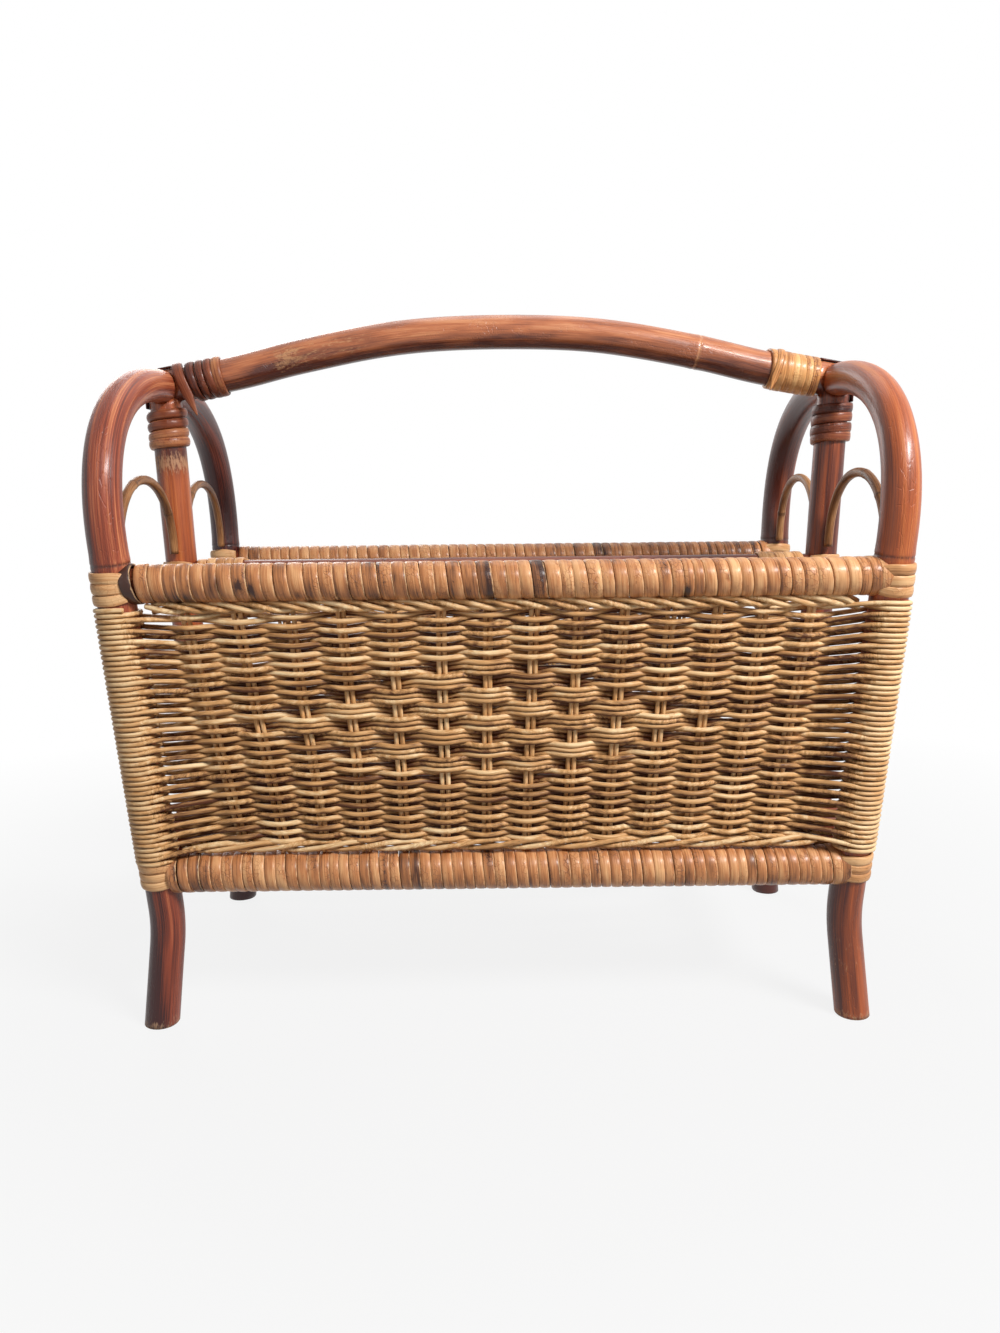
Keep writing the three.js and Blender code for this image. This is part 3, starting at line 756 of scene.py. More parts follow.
@dataclass(frozen=True)
class CaneFinish:
    """Finish of one kind of cane, from its colours to its sheen."""

    name: str
    slot: str
    deep: Colour
    middle: Colour
    pale: Colour
    ring: Colour
    bare: Colour
    fineness: float = 0.8
    stretch: float = 0.03
    strand_share: float = 0.5
    fibre_share: float = 0.3
    patch_share: float = 0.3
    fleck_share: float = 0.2
    streak_share: float = 0.1
    crack_share: float = 0.0
    roughness: float = 0.42
    roughness_spread: float = 0.15
    specular: float = 0.45
    lacquer: float = 0.25
    lacquer_roughness: float = 0.2
    relief: float = 0.12

    @cache
    def material(self) -> bpy.types.Material:
        """The finish as a material, built once and shared by its pieces."""
        material = bpy.data.materials.new(self.name)
        material.use_nodes = True
        desk = NodeDesk(material.node_tree)
        place = desk.add("Attribute", attribute_name="grain").outputs["Vector"]
        strand = desk.add("Attribute", attribute_name="strand").outputs["Fac"]
        marks = desk.add("Attribute", attribute_name="marks").outputs["Vector"]
        tone = desk.add("SeparateXYZ", Vector=marks).outputs[1]
        grain = desk.add(
            "Group", node_tree=CaneEffects.grain(),
            Place=place, Shift=strand, Fineness=self.fineness, Stretch=self.stretch,
        )

        def shared(value: bpy.types.NodeSocket, share: float) -> bpy.types.NodeSocket:
            """Value round its middle, at a share of its reach."""
            return desk.math("MULTIPLY", desk.math("SUBTRACT", value, 0.5), share)

        def lowered(value: object, *hollows: tuple[bpy.types.NodeSocket, float]) -> bpy.types.NodeSocket:
            """Value less each of some others at its share."""
            for other, share in hollows:
                value = desk.math("SUBTRACT", value, desk.math("MULTIPLY", other, share))
            return value

        fibres, patches, flecks, streaks, cracks = grain.outputs[:5]
        paleness = desk.math("ADD", shared(strand, self.strand_share), 0.5)
        paleness = desk.math("ADD", paleness, shared(fibres, self.fibre_share))
        paleness = desk.math("ADD", paleness, shared(patches, self.patch_share))
        paleness = lowered(
            paleness, (flecks, self.fleck_share), (streaks, self.streak_share), (cracks, self.crack_share),
        )
        paleness = desk.math("ADD", paleness, tone, clamp=True)
        colour = desk.add(
            "Group", node_tree=CaneEffects.colour(),
            Paleness=paleness, Deep=linear(self.deep), Middle=linear(self.middle), Pale=linear(self.pale),
        )
        wear = desk.add(
            "Group", node_tree=CaneEffects.wear(),
            Colour=colour.outputs[0], Marks=marks, Place=place,
            Ring_Colour=linear(self.ring), Bare_Colour=linear(self.bare),
        )
        bare = wear.outputs["Bare"]
        uneven = desk.math("ADD", shared(fibres, self.roughness_spread), self.roughness)
        relief = desk.add(
            "Bump", Strength=0.6, Distance=self.relief * MM,
            Height=lowered(fibres, (flecks, 1.5), (cracks, 2.0), (bare, 0.8)),
        )
        shader = desk.add(
            "BsdfPrincipled",
            Base_Color=wear.outputs["Colour"],
            Specular_IOR_Level=self.specular,
            Roughness=desk.math("ADD", uneven, desk.math("MULTIPLY", bare, 0.3), clamp=True),
            Coat_Weight=desk.math("MULTIPLY", desk.inverse(bare), self.lacquer, clamp=True),
            Coat_Roughness=self.lacquer_roughness,
            Normal=relief.outputs[0],
        )
        desk.add("OutputMaterial", Surface=shader.outputs[0])
        return material


MAHOGANY = CaneFinish(
    "mahogany_rattan", "dark_rattan",
    (58, 18, 16), (152, 70, 44), (228, 148, 100), (40, 16, 12), (188, 150, 120),
    fineness=1.5, stretch=0.006, strand_share=0.1, fibre_share=0.6, patch_share=0.4, fleck_share=0.25,
    streak_share=0.06, roughness=0.44, roughness_spread=0.3, specular=0.32, lacquer=0.24, relief=0.16,
)
RED_RATTAN = CaneFinish(
    "red_rattan", "dark_rattan",
    (78, 28, 16), (174, 86, 42), (226, 142, 76), (46, 18, 12), (200, 152, 116),
    fineness=1.3, stretch=0.008, strand_share=0.1, fibre_share=0.34, patch_share=0.35,
    streak_share=0.03, roughness=0.4, roughness_spread=0.25, specular=0.36, lacquer=0.26,
)
HANDLE_RATTAN = CaneFinish(
    "honey_rattan", "handle_rattan",
    (92, 38, 22), (184, 106, 64), (232, 164, 114), (214, 152, 106), (208, 156, 112),
    fineness=1.1, stretch=0.022, strand_share=0.1, fibre_share=0.34, patch_share=0.4, fleck_share=0.3,
    streak_share=0.05, roughness=0.36, roughness_spread=0.25, specular=0.46, lacquer=0.45,
    lacquer_roughness=0.17,
)
DIVIDER_RATTAN = CaneFinish(
    "brown_rattan", "dark_rattan",
    (62, 22, 16), (122, 58, 36), (166, 92, 56), (40, 18, 14), (170, 130, 100),
    fineness=0.6, stretch=0.016, strand_share=0.1, fibre_share=0.6, patch_share=0.5, streak_share=0.2,
    specular=0.3, lacquer=0.1,
)
DARK_PEEL = CaneFinish(
    "maroon_peel", "dark_peel",
    (60, 22, 16), (134, 70, 44), (206, 140, 92), (40, 18, 14), (214, 160, 114),
    fineness=1.0, strand_share=1.0, fibre_share=0.45, fleck_share=0.3, streak_share=0.15,
    crack_share=0.1, roughness=0.4, specular=0.26, lacquer=0.14,
)
BROWN_PEEL = CaneFinish(
    "rail_peel", "brown_peel",
    (58, 26, 12), (190, 124, 76), (238, 184, 130), (84, 42, 24), (234, 190, 142),
    fineness=1.1, strand_share=1.0, fibre_share=0.4, patch_share=0.5, fleck_share=0.4,
    streak_share=0.12, crack_share=0.24, roughness=0.4, roughness_spread=0.3, specular=0.32,
    lacquer=0.22, lacquer_roughness=0.24, relief=0.16,
)
REED = CaneFinish(
    "weaving_reed", "reed",
    (86, 44, 18), (210, 158, 102), (252, 222, 174), (90, 52, 32), (238, 200, 150),
    fineness=1.2, strand_share=0.9, fibre_share=0.4, patch_share=0.35, fleck_share=0.3,
    streak_share=0.12, roughness=0.46, specular=0.25, lacquer=0.06, lacquer_roughness=0.3, relief=0.1,
)
LIGHT_CANE = CaneFinish(
    "strap_cane", "light_cane",
    (124, 74, 40), (210, 152, 100), (242, 200, 148), (96, 56, 34), (236, 196, 146),
    fineness=1.0, stretch=0.025, strand_share=0.8, fibre_share=0.5, patch_share=0.35, fleck_share=0.3,
    streak_share=0.25, crack_share=0.1, roughness=0.46, specular=0.28, lacquer=0.08,
)
LOOP_CANE = CaneFinish(
    "loop_cane", "light_cane",
    (78, 44, 26), (156, 106, 64), (206, 156, 106), (64, 38, 24), (198, 152, 106),
    fineness=1.0, stretch=0.025, strand_share=0.6, fibre_share=0.5, patch_share=0.4, streak_share=0.25,
    roughness=0.46, specular=0.28, lacquer=0.06,
)
GOLDEN_PEEL = CaneFinish(
    "amber_peel", "golden_peel",
    (112, 56, 24), (218, 152, 92), (244, 194, 130), (92, 50, 28), (240, 196, 144),
    fineness=1.0, strand_share=0.8, fibre_share=0.5, patch_share=0.5, fleck_share=0.45,
    streak_share=0.2, crack_share=0.2, roughness=0.4, specular=0.32, lacquer=0.2, relief=0.14,
)


# Poles


@dataclass(frozen=True)
class Seat:
    """End of a pole hollowed to sit against a round one.

    Attributes:
        centre: A point on the other pole's centreline.
        axis: Direction of the other pole.
        radius: Its radius.
        gap: Space left between the two.
    """

    centre: Array
    axis: Array
    radius: float
    gap: float = 0.2

    def __call__(self, ring: Array, inward: Array) -> Array:
        """The pole's end ring moved onto the other pole.

        Args:
            ring: Points of the ring.
            inward: Direction from the other pole back along this one.

        Returns:
            The moved ring.
        """
        axis = unit(self.axis)
        inward = unit(inward - (inward @ axis) * axis)
        across = np.cross(axis, inward)
        offset = ring - self.centre
        level = offset @ axis
        aside = offset @ across
        depth = np.sqrt(np.maximum((self.radius + self.gap) ** 2 - aside**2, 0))
        return self.centre + level[:, None] * axis + aside[:, None] * across + depth[:, None] * inward


@dataclass
class Pole:
    """One rattan pole with its growth rings and slight unevenness.

    Attributes:
        name: CAD node that it stands for.
        path: Points of its centreline.
        radius: Its radius.
        reference: Direction that fixes where its sides start.
        seed: Seed for its unevenness.
        growth_rings: Distances along it at which its growth rings lie.
        sides: Number of its sides.
        spacing: Usual distance between its points.
        seats: How its ends sit on other poles.
        on_floor: Whether its ends are cut flat on the floor.
        tone: Gives the change of tone at places on its surface.
        worn: Gives how rubbed it is there.
    """

    name: str
    path: Array
    radius: float
    reference: Point
    seed: int
    growth_rings: tuple[float, ...] = ()
    sides: int = 28
    spacing: float = 3.0
    seats: tuple[Seat | None, Seat | None] = (None, None)
    on_floor: bool = False
    tone: Callable[[Array], Array] | None = None
    worn: Callable[[Array], Array] | None = None

    def build(self, finish: CaneFinish) -> bpy.types.Object:
        """Makes the pole.

        Args:
            finish: Its finish.

        Returns:
            The pole's object.
        """
        rng = np.random.default_rng(self.seed)
        stations = evenly(self.path, self.spacing, self.growth_rings)
        path = resample(self.path, stations)
        angle = 2 * np.pi * np.arange(self.sides) / self.sides
        cosine, sine = circle(self.sides)
        radii = np.full((len(path), self.sides), self.radius)
        radii += 0.12 * wander(rng, stations, 45)[:, None]
        for swell, reach, waves in ((0.10, 60, 2), (0.05, 30, 3)):
            uneven = swell * wander(rng, stations, reach)[:, None]
            radii += uneven * np.cos(waves * angle + rng.uniform(0, 6))
        ring = np.zeros(len(path))
        for place in self.growth_rings:
            radii += (0.3 * bump(stations, place, 3.5) - 0.28 * bump(stations, place, 0.7))[:, None]
            ring = np.maximum(ring, bump(stations, place, 0.9))
        marks = np.zeros((len(path), self.sides, 3))
        marks[..., 0] = ring[:, None]
        _, first, second = frames(path, np.array(self.reference))
        surface = path[:, None] + (first[:, None] * cosine + second[:, None] * sine) * radii[..., None]
        for channel, paint in ((1, self.tone), (2, self.worn)):
            if paint is not None:
                marks[..., channel] = paint(surface)
        ends = tuple(
            None if seat is None else (lambda ring, seat=seat, inward=inward: seat(ring, inward))
            for seat, inward in zip(self.seats, (path[2] - path[0], path[-3] - path[-1]))
        )
        rounding = tuple(0.0 if seat is not None or self.on_floor else 0.16 for seat in self.seats)
        if self.on_floor:
            ends = (self._cut_flat, self._cut_flat)
        shape = PieceMesh(label(self.name, "pole"))
        shape.add_tube(
            path, radii, np.array(self.reference), self.sides, rng.uniform(0.3, 0.7), marks, rounding,
            rng.uniform(0, GRAIN_REACH), ends,
        )
        return shape.make(finish, self.name)

    @staticmethod
    def _cut_flat(ring: Array) -> Array:
        """End ring set flat on the floor."""
        ring[:, 2] = 0.0
        return ring


# Darker stretches of the handle: place along X, reach and depth.
HANDLE_SHADES = ((-150, 60, 0.2), (60, 120, 0.06), (165, 25, 0.12))


@dataclass
class PoleWork:
    """All bare poles of the rack: arches, handle, posts, rails and floor rods."""

    sizes: RackSizes
    foot_wear_height: float = 16.0

    def build(self) -> None:
        """Makes every pole."""
        for side in Side:
            self._arch(side)
            self._centre_post(side)
            self._end_rail(side)
        self._handle()
        self._divider()
        for face in Face:
            for level in Level:
                self._long_rail(face, level)
            for number in range(3):
                self._base_rod(face, number)

    def _arch(self, side: Side) -> None:
        """Makes an end arch, its feet scuffed and flat on the floor."""
        name = label(side, "arch")
        path = self.sizes.arch_path(side)
        total = lengths(path)[-1]

        def tone(surface: Array) -> Array:
            """Painted shade behind, under the rim and on the side turned from the light, painted light on
            the right arch's outer side, and lighter over the bend.
            """
            height = surface[..., 2]
            over = ramp((height - 330) / 60) * 0.08
            behind = ramp(surface[..., 1] / 50) * 0.46
            low = ramp((110 - height) / 20) * (0.22 if side is Side.LEFT else 0.28)
            aside = (side.value * surface[..., 0] - self.sizes.post_x(height)) / self.sizes.arch_radius
            if side is Side.LEFT:
                edge = -0.58 * ramp(1.25 * aside)
            else:
                edge = 0.1 * ramp(aside) - 0.3 * ramp(-aside)
            edge *= 1 - 0.6 * ramp((height - 340) / 40)
            return over - behind - low + edge

        def worn(surface: Array) -> Array:
            """Rubbed feet, and a few scuffs on the front of the bends."""
            height = surface[..., 2]
            feet = ramp(1 - height / self.foot_wear_height) * 0.5 * (surface[..., 1] < 0)
            rubbed = 0.34 * bump(height, 150 if side is Side.LEFT else 40, 40)
            return np.maximum(feet, rubbed * (surface[..., 1] < 0))

        rings = (total * 0.3, total * 0.7)
        Pole(
            name, path, self.sizes.arch_radius, (1, 0, 0), 11 if side is Side.LEFT else 12, rings,
            sides=32, on_floor=True, tone=tone, worn=worn,
        ).build(MAHOGANY if side is Side.LEFT else RED_RATTAN)

    def _centre_post(self, side: Side) -> None:
        """Makes a centre post, seated on the end rail and under the arch."""
        name = label(side, "centre_post")
        low = self.sizes.centre_post_point(side, self.sizes.bottom_rail_height)
        high = self.sizes.centre_post_point(side, self.sizes.arch_top_height)
        seats = (Seat(low, Y_AXIS, self.sizes.end_rail_radius), Seat(high, Y_AXIS, self.sizes.arch_radius))
        heights = (self.sizes.bottom_rail_height + 8, self.sizes.arch_top_height - 9)
        ends = [self.sizes.centre_post_point(side, height) for height in heights]

        def tone(surface: Array) -> Array:
            """Dark round the scar, and along the side away from the handle."""
            aside = side.value * (surface[..., 0] - side.value * self.sizes.post_x(surface[..., 2])) / 10
            all_round = 0.04 + 0.5 * bump(surface[..., 2], 349, 9) if side is Side.LEFT else 0.34
            return -0.3 * ramp(aside) - all_round

        def worn(surface: Array) -> Array:
            """Bark scars under the binding."""
            scar = bump(surface[..., 2], 344 if side is Side.LEFT else 250, 12)
            return scar * (0.52 if side is Side.LEFT else 0.25)

        Pole(
            name, bezier(ends, 80), self.sizes.centre_post_radius, (1, 0, 0), 21 + side.value,
            (68.0,) if side is Side.LEFT else (104.0,), seats=seats, tone=tone, worn=worn,
        ).build(RED_RATTAN)

    def _end_rail(self, side: Side) -> None:
        """Makes the rail across one end at the bottom."""
        name = label(side, "end_rail")
        z = self.sizes.bottom_rail_height
        half = self.sizes.bottom_half_depth - 12.2 - 0.3 - self.sizes.strap_half_height * self.sizes.lean
        x = side.value * self.sizes.bottom_half_width
        path = bezier([np.array([x, -half, z]), np.array([x, half, z])], 60)
        Pole(name, path, self.sizes.end_rail_radius, (0, 0, 1), 31 + side.value, (52.0,)).build(MAHOGANY)

    def _handle(self) -> None:
        """Makes the bent carry handle, seated against both arches."""
        path = self.sizes.handle_path()
        reach = self.sizes.arch_radius - 1.0
        total = lengths(path)[-1]
        inner = resample(path, np.linspace(reach, total - reach, 240))
        seats = tuple(Seat(self.sizes.arch_top(side), Y_AXIS, self.sizes.arch_radius) for side in Side)

        def tone(surface: Array) -> Array:
            """Browner near its ends, with painted shade underneath and painted light on top."""
            x = surface[..., 0]
            above = (surface[..., 2] - np.interp(x, inner[:, 0], inner[:, 2])) / self.sizes.handle_radius
            shade = 0.1 * ramp(above) - 0.5 * ramp(-above)
            return shade - bumps(x, HANDLE_SHADES)

        def worn(surface: Array) -> Array:
            """The worn patch on the left and small rubs along the top."""
            x = surface[..., 0]
            facing = ramp(-surface[..., 1] / 10)
            patch = 0.37 * bump(x, -140, 20) * facing + 0.33 * bump(x, -98, 32) * facing**2
            return patch + 0.18 * bump(x, 40, 140)

        Pole(
            "carry_handle", inner, self.sizes.handle_radius, (0, 1, 0), 41, (total / 2 + 121.0,),
            sides=32, seats=seats, tone=tone, worn=worn,
        ).build(HANDLE_RATTAN)

    def _divider(self) -> None:
        """Makes the bare divider rail between the centre posts."""
        z = self.sizes.divider_height
        posts = [self.sizes.centre_post_point(side, z) for side in Side]
        up = self.sizes.centre_post_point(Side.RIGHT, z + 1) - posts[1]
        seats = (
            Seat(posts[0], up * np.array([-1, 1, 1]), self.sizes.centre_post_radius),
            Seat(posts[1], up, self.sizes.centre_post_radius),
        )
        reach = np.array([self.sizes.centre_post_radius - 1, 0, 0])
        path = bezier([posts[0] + reach, posts[1] - reach], 120)
        Pole(
            "divider_rail", path, self.sizes.divider_radius, (0, 0, 1), 51, (128.0, 301.0), seats=seats,
        ).build(DIVIDER_RATTAN)

    def _long_rail(self, face: Face, level: Level) -> None:
        """Makes the core of a long rail, seated against both posts."""
        name = label(face, level, "rail")
        z = self.sizes.rail_height(level)
        posts = [self.sizes.post_point(side, face, z) for side in Side]
        ups = [self.sizes.post_point(side, face, z + 1) - post for side, post in zip(Side, posts)]
        seats = tuple(Seat(post, up, self.sizes.arch_radius) for post, up in zip(posts, ups))
        reach = np.array([self.sizes.arch_radius - 1, 0, 0])
        path = bezier([posts[0] + reach, posts[1] - reach], 120)
        seed = 60 + face.value + (3 if level is Level.TOP else 0)
        Pole(
            name, path, self.sizes.rail_core_radius, (0, 0, 1), seed, seats=seats, spacing=6, sides=20,
        ).build(MAHOGANY)

    def _base_rod(self, face: Face, number: int) -> None:
        """Makes one rod of the basket's floor."""
        name = label(face, f"base_rod_{number + 1}")
        half = self.sizes.bottom_half_width + self.sizes.end_rail_radius + 4
        y = face.value * (self.sizes.centre_post_radius + 5 + self.sizes.base_rod_radius + number * 24)
        z = self.sizes.bottom_rail_height + self.sizes.end_rail_radius + self.sizes.base_rod_radius + 0.3
        path = bezier([np.array([-half, y, z]), np.array([half, y, z])], 90)
        seed = 70 + 5 * number + face.value
        rings = (60.0 + 31 * number, 250.0 + 23 * number)
        Pole(
            name, path, self.sizes.base_rod_radius, (0, 0, 1), seed, rings, sides=16,
        ).build(DIVIDER_RATTAN)


# Peel


def peel_profile(width: float, thickness: float, crown: float = 0.14) -> Array:
    """Section of a flat peel, its outer face crowned.

    Args:
        width: Its width.
        thickness: Its thickness.
        crown: Share of the thickness by which its edges lie lower.

    Returns:
        Places across and outwards, going round.
    """
    half = [(-0.5, 0.0), (-0.5, 1 - 2.2 * crown), (-0.45, 1 - crown), (-0.25, 1 - 0.25 * crown)]
    shape = [*half, (0.0, 1.0), *[(-u, h) for u, h in half[::-1]]]
    return np.array(shape) * np.array([width, thickness])


@dataclass
class Winding:
    """A flat peel wound turn beside turn round a pole.

    Attributes:
        axis: Gives the pole's centre, its direction and two directions across.
        inner_radius: Radius on which the peel lies.
        widths: Width of each turn.
        thickness: Thickness of the peel.
        tints: Tint of each turn.
        seed: Seed for its unevenness.
        first_angle: Where round the pole it starts, in turns.
        start: Distance along the pole at which it starts.
        steps: Number of points in one turn.
        stray: How far turns stray sideways.
        lift: How far they stray outwards.
        seam: Space between turns.
        end_lift: Extra height of the first and last turn, over what they hold.
        slant: Sideways lean of the first and of the last turn.
        crown: How much lower its edges lie than its middle.
        edge_highlights: How pale its two edges are, painted highlights on the raised edges.
        stains: Gives the change of tone at places on its surface.
        tuck_turns: Part of a turn over which its ends are tucked in.
        tuck_depth: Share of the thickness by which they are.
    """

    axis: Axis
    inner_radius: float
    widths: Array
    thickness: float
    tints: Array
    seed: int
    first_angle: float = 0.5
    start: float = 0.0
    steps: int = 36
    stray: float = 0.15
    lift: float = 0.12
    seam: float = 0.25
    end_lift: float = 0.0
    slant: tuple[float, float] = (0.0, 0.0)
    crown: float = 0.14
    edge_highlights: tuple[float, float] = (0.0, 0.0)
    stains: Callable[[Array], Array] | None = None
    tuck_turns: float = 1 / 6
    tuck_depth: float = 0.7

    def add_to(self, shape: PieceMesh) -> None:
        """Adds the winding to a piece.

        Args:
            shape: Piece that gets the band.
        """
        rng = np.random.default_rng(self.seed)
        turns = len(self.widths)
        count = turns * self.steps + 1
        turn = np.linspace(0, turns, count)
        knots = np.arange(turns + 1)
        edges = self.start + np.concatenate([[0], np.cumsum(self.widths)])
        following = np.append(edges[2:], edges[-1])
        centres = np.append(edges[0] + self.widths[0] / 2, (edges[1:] + following) / 2)
        distance = np.interp(turn, knots, centres)
        distance += self.stray * np.interp(turn, knots, rng.uniform(-1, 1, turns + 1))
        halves = rng.uniform(-0.5, 0.5, 2 * turns + 1)
        distance += self.stray * np.interp(turn * 2, np.arange(2 * turns + 1), halves)
        lean = self.slant[0] * ramp(1 - turn) + self.slant[1] * ramp(turn - turns + 1)
        angle = 2 * np.pi * (self.first_angle + turn)
        point, along, first, second = self.axis(distance)
        radial = around(first, second, angle)
        share = np.interp(turn, knots, np.append(self.widths, self.widths[-1]))
        width = (share - self.seam) / share.mean()
        lift = self.lift * np.interp(turn, knots, rng.uniform(-1, 1, turns + 1))
        lift += self.end_lift * (ramp(1.2 - turn / 2) + ramp((turn - turns) / 2 + 1.2))
        tuck = ramp(1 - turn / self.tuck_turns) + ramp((turn - turns) / self.tuck_turns + 1)
        lift -= tuck * self.thickness * self.tuck_depth
        number = np.clip(np.floor(turn + 0.02).astype(int), 0, turns - 1)
        tint = self.tints[number]
        path = point + radial * self.inner_radius + along * (lean * np.cos(angle + 0.6))[:, None]
        profile = peel_profile(share.mean(), self.thickness, self.crown)
        marks = np.zeros((count, len(profile), 3))
        # The pale edges are painted highlights, carried in the wear channel.
        marks[:, (1, 2), 2] = self.edge_highlights[0]
        marks[:, (-3, -2), 2] = self.edge_highlights[1]
        if self.stains is not None:
            u = profile[None, :, 0] * width[:, None]
            over = along[:, None] * u[..., None] + radial[:, None] * profile[None, :, 1, None]
            marks[..., 1] = self.stains(path[:, None] + over)
        shape.add_band(path, radial, along, profile, tint, marks, rng.uniform(0, GRAIN_REACH), width, lift)


def straight_axis(start: Array, direction: Array, across: Array) -> Axis:
    """Centre and directions along a straight pole.

    Args:
        start: Where distance is zero.
        direction: The pole's direction.
        across: First direction across it.

    Returns:
        Function from distances to points and three directions.
    """
    along = unit(direction)
    first = unit(across - (across @ along) * along)
    second = np.cross(along, first)

    def place(distance: Array) -> tuple[Array, Array, Array, Array]:
        """Centre and directions at distances along the pole."""
        rows = np.ones((len(distance), 1))
        return start + distance[:, None] * along, rows * along, rows * first, rows * second

    return place


# Turns of each long rail that are dark: place along X, reach and tint.
BOTTOM_TURNS = ((-60, 3, 0.4), (95, 3, 0.42))
DARK_TURNS = {
    (Face.FRONT, Level.TOP): (
        (-20.5, 3.5, 0.34), (-11, 4, 0.2), (18.5, 2.6, 0.12), (-146, 5, 0.4), (-125, 5, 0.42),
    ),
    (Face.BACK, Level.TOP): ((56, 5, 0.25), (68, 4, 0.05), (77, 4, 0.08), (130, 4, 0.4), (170, 12, 0.3)),
    (Face.FRONT, Level.BOTTOM): BOTTOM_TURNS,
    (Face.BACK, Level.BOTTOM): BOTTOM_TURNS,
}

# Stains of the front rim: place along X, height, half width, half height and depth.
FRONT_STAINS = (
    (-186, 262, 9, 7, 0.45), (-175, 264, 3, 5, 0.6), (-163, 272, 10, 9, 0.3),
    (-146, 272, 2, 3, 0.8), (-139, 270, 1.5, 3, 0.7), (-114, 266, 1.6, 2.6, 0.6),
    (-60, 276, 3, 3, 0.2), (101.6, 266, 1.6, 3.2, 0.9), (124, 274, 1.4, 1.6, 0.8),
)
STAINED_BEFORE = -118


@dataclass
class PeelWork:
    """The peel wound round rails, divider, handle ends and post heads."""

    sizes: RackSizes
    top_pitch: float = 7.55
    bottom_pitch: float = 6.3
    over_post: float = 4.5
    bottom_wrap_radius: float = 12.3
    bottom_wrap_rise: float = 1.3
    rail_peel: float = 1.9
    binding_peel: float = 1.5
    under_peel: float = 0.2

    def build(self) -> None:
        """Makes every winding."""
        for face in Face:
            for level in Level:
                self._rail(face, level)
        for side in Side:
            self._divider(side)
            self._handle(side)
            self._post_head(side)

    def _rail(self, face: Face, level: Level) -> None:
        """Makes the wrapping of a long rail.

        Args:
            face: Face of the rack.
            level: Height of the rail.
        """
        name = label(face, level, "rail_wrap")
        seed = 200 + 10 * face.value + (5 if level is Level.TOP else 0)
        rng = np.random.default_rng(seed)
        z = self.sizes.rail_height(level)
        half = self.sizes.post_x(z) - self.over_post
        top = level is Level.TOP
        turns = int(round(2 * half / (self.top_pitch if top else self.bottom_pitch)))
        widths = rng.uniform(0.86, 1.14, turns)
        if top:
            widths *= np.where(np.linspace(-1, 1, turns) > 0.35, rng.uniform(0.7, 1.1, turns), 1.0)
        widths *= 2 * half / widths.sum()
        centres = -half + np.cumsum(widths) - widths / 2
        tints = self._rail_tints(face, level, centres, rng)
        radius = self.sizes.wrap_radius if top else self.bottom_wrap_radius
        rise = 0.0 if top else self.bottom_wrap_rise
        start = np.array([-half, face.value * self.sizes.post_y(z), z + rise])
        stains = self._front_stains if (face, level) == (Face.FRONT, Level.TOP) else None
        shape = PieceMesh(f"{name}_peel")
        Winding(
            straight_axis(start, X_AXIS, -face.value * Y_AXIS),
            radius - self.rail_peel, widths, self.rail_peel, tints, seed,
            first_angle=0.0, stray=0.3, lift=0.12, end_lift=0.7 if top else 0.2, seam=0.16, crown=0.16,
            slant=(2.6, -1.2) if top else (0.6, -0.4),
            edge_highlights=(0.3, 0.5), stains=stains,
        ).add_to(shape)
        shape.make(BROWN_PEEL, name)

    def _rail_tints(self, face: Face, level: Level, centres: Array, rng: np.random.Generator) -> Array:
        """Tint of each turn of a rail, with the dark bands where they lie.

        Args:
            face: Face of the rack.
            level: Height of the rail.
            centres: Place of each turn along X.
            rng: Seeded source of numbers.

        Returns:
            Tints from nothing, nearly black, to one, pale.
        """
        tints = 0.55 + 0.13 * rng.uniform(-1, 1, len(centres)) + 0.06 * wander(rng, centres, 60)
        tints += np.where(rng.random(len(centres)) < 0.12, -0.12, 0.0)
        if level is Level.BOTTOM:
            tints += np.where(centres < -40, -0.04, 0.02)
        elif face is Face.FRONT:
            tints[0] = -0.3
            tints += 0.08 * (centres > 20)
        else:
            tints -= 0.12 * (centres > 85)
        for place, reach, tint in DARK_TURNS[face, level]:
            tints = np.where(np.abs(centres - place) < reach, tint, tints)
        return tints

    @staticmethod
    def _front_stains(surface: Array) -> Array:
        """Stains and nicks of the front rim, as a change of tone."""
        tone = np.zeros(surface.shape[:-1])
        for x, z, wide, high, depth in FRONT_STAINS:
            tone -= depth * bump(surface[..., 0], x, wide) * bump(surface[..., 2], z, high)
        return tone * (surface[..., 1] < STAINED_BEFORE)

    def _divider(self, side: Side) -> None:
        """Makes the short wrapping at one end of the divider rail."""
        name = label(side, "divider_binding")
        z = self.sizes.divider_height
        rng = np.random.default_rng(230 + side.value)
        end = self.sizes.centre_post_point(side, z)[0] - side.value * (self.sizes.centre_post_radius + 1)
        shape = PieceMesh(f"{name}_peel")
        Winding(
            straight_axis(np.array([end, 0, z]), -side.value * X_AXIS, Y_AXIS),
            self.sizes.divider_radius + self.under_peel, np.full(5, 6.2), self.binding_peel,
            rng.uniform(0.45, 0.75, 5), 231, first_angle=0.25, stray=0.2, end_lift=0.2,
        ).add_to(shape)
        shape.make(LIGHT_CANE, name)

    def _handle(self, side: Side) -> None:
        """Makes the winding round one end of the handle."""
        name = label(side, "handle_binding")
        path = self.sizes.handle_path()
        if side is Side.RIGHT:
            path = path[::-1]
        total = lengths(path)[-1]

        def axis(distance: Array) -> tuple[Array, Array, Array, Array]:
            """Centre and directions along the handle from the arch."""
            place = np.clip(distance, 0.5, total - 0.5)
            point = resample(path, place)
            along = unit(resample(path, place + 0.5) - resample(path, place - 0.5))
            first = np.broadcast_to(Y_AXIS, point.shape)
            return point, along, first, np.cross(along, first)

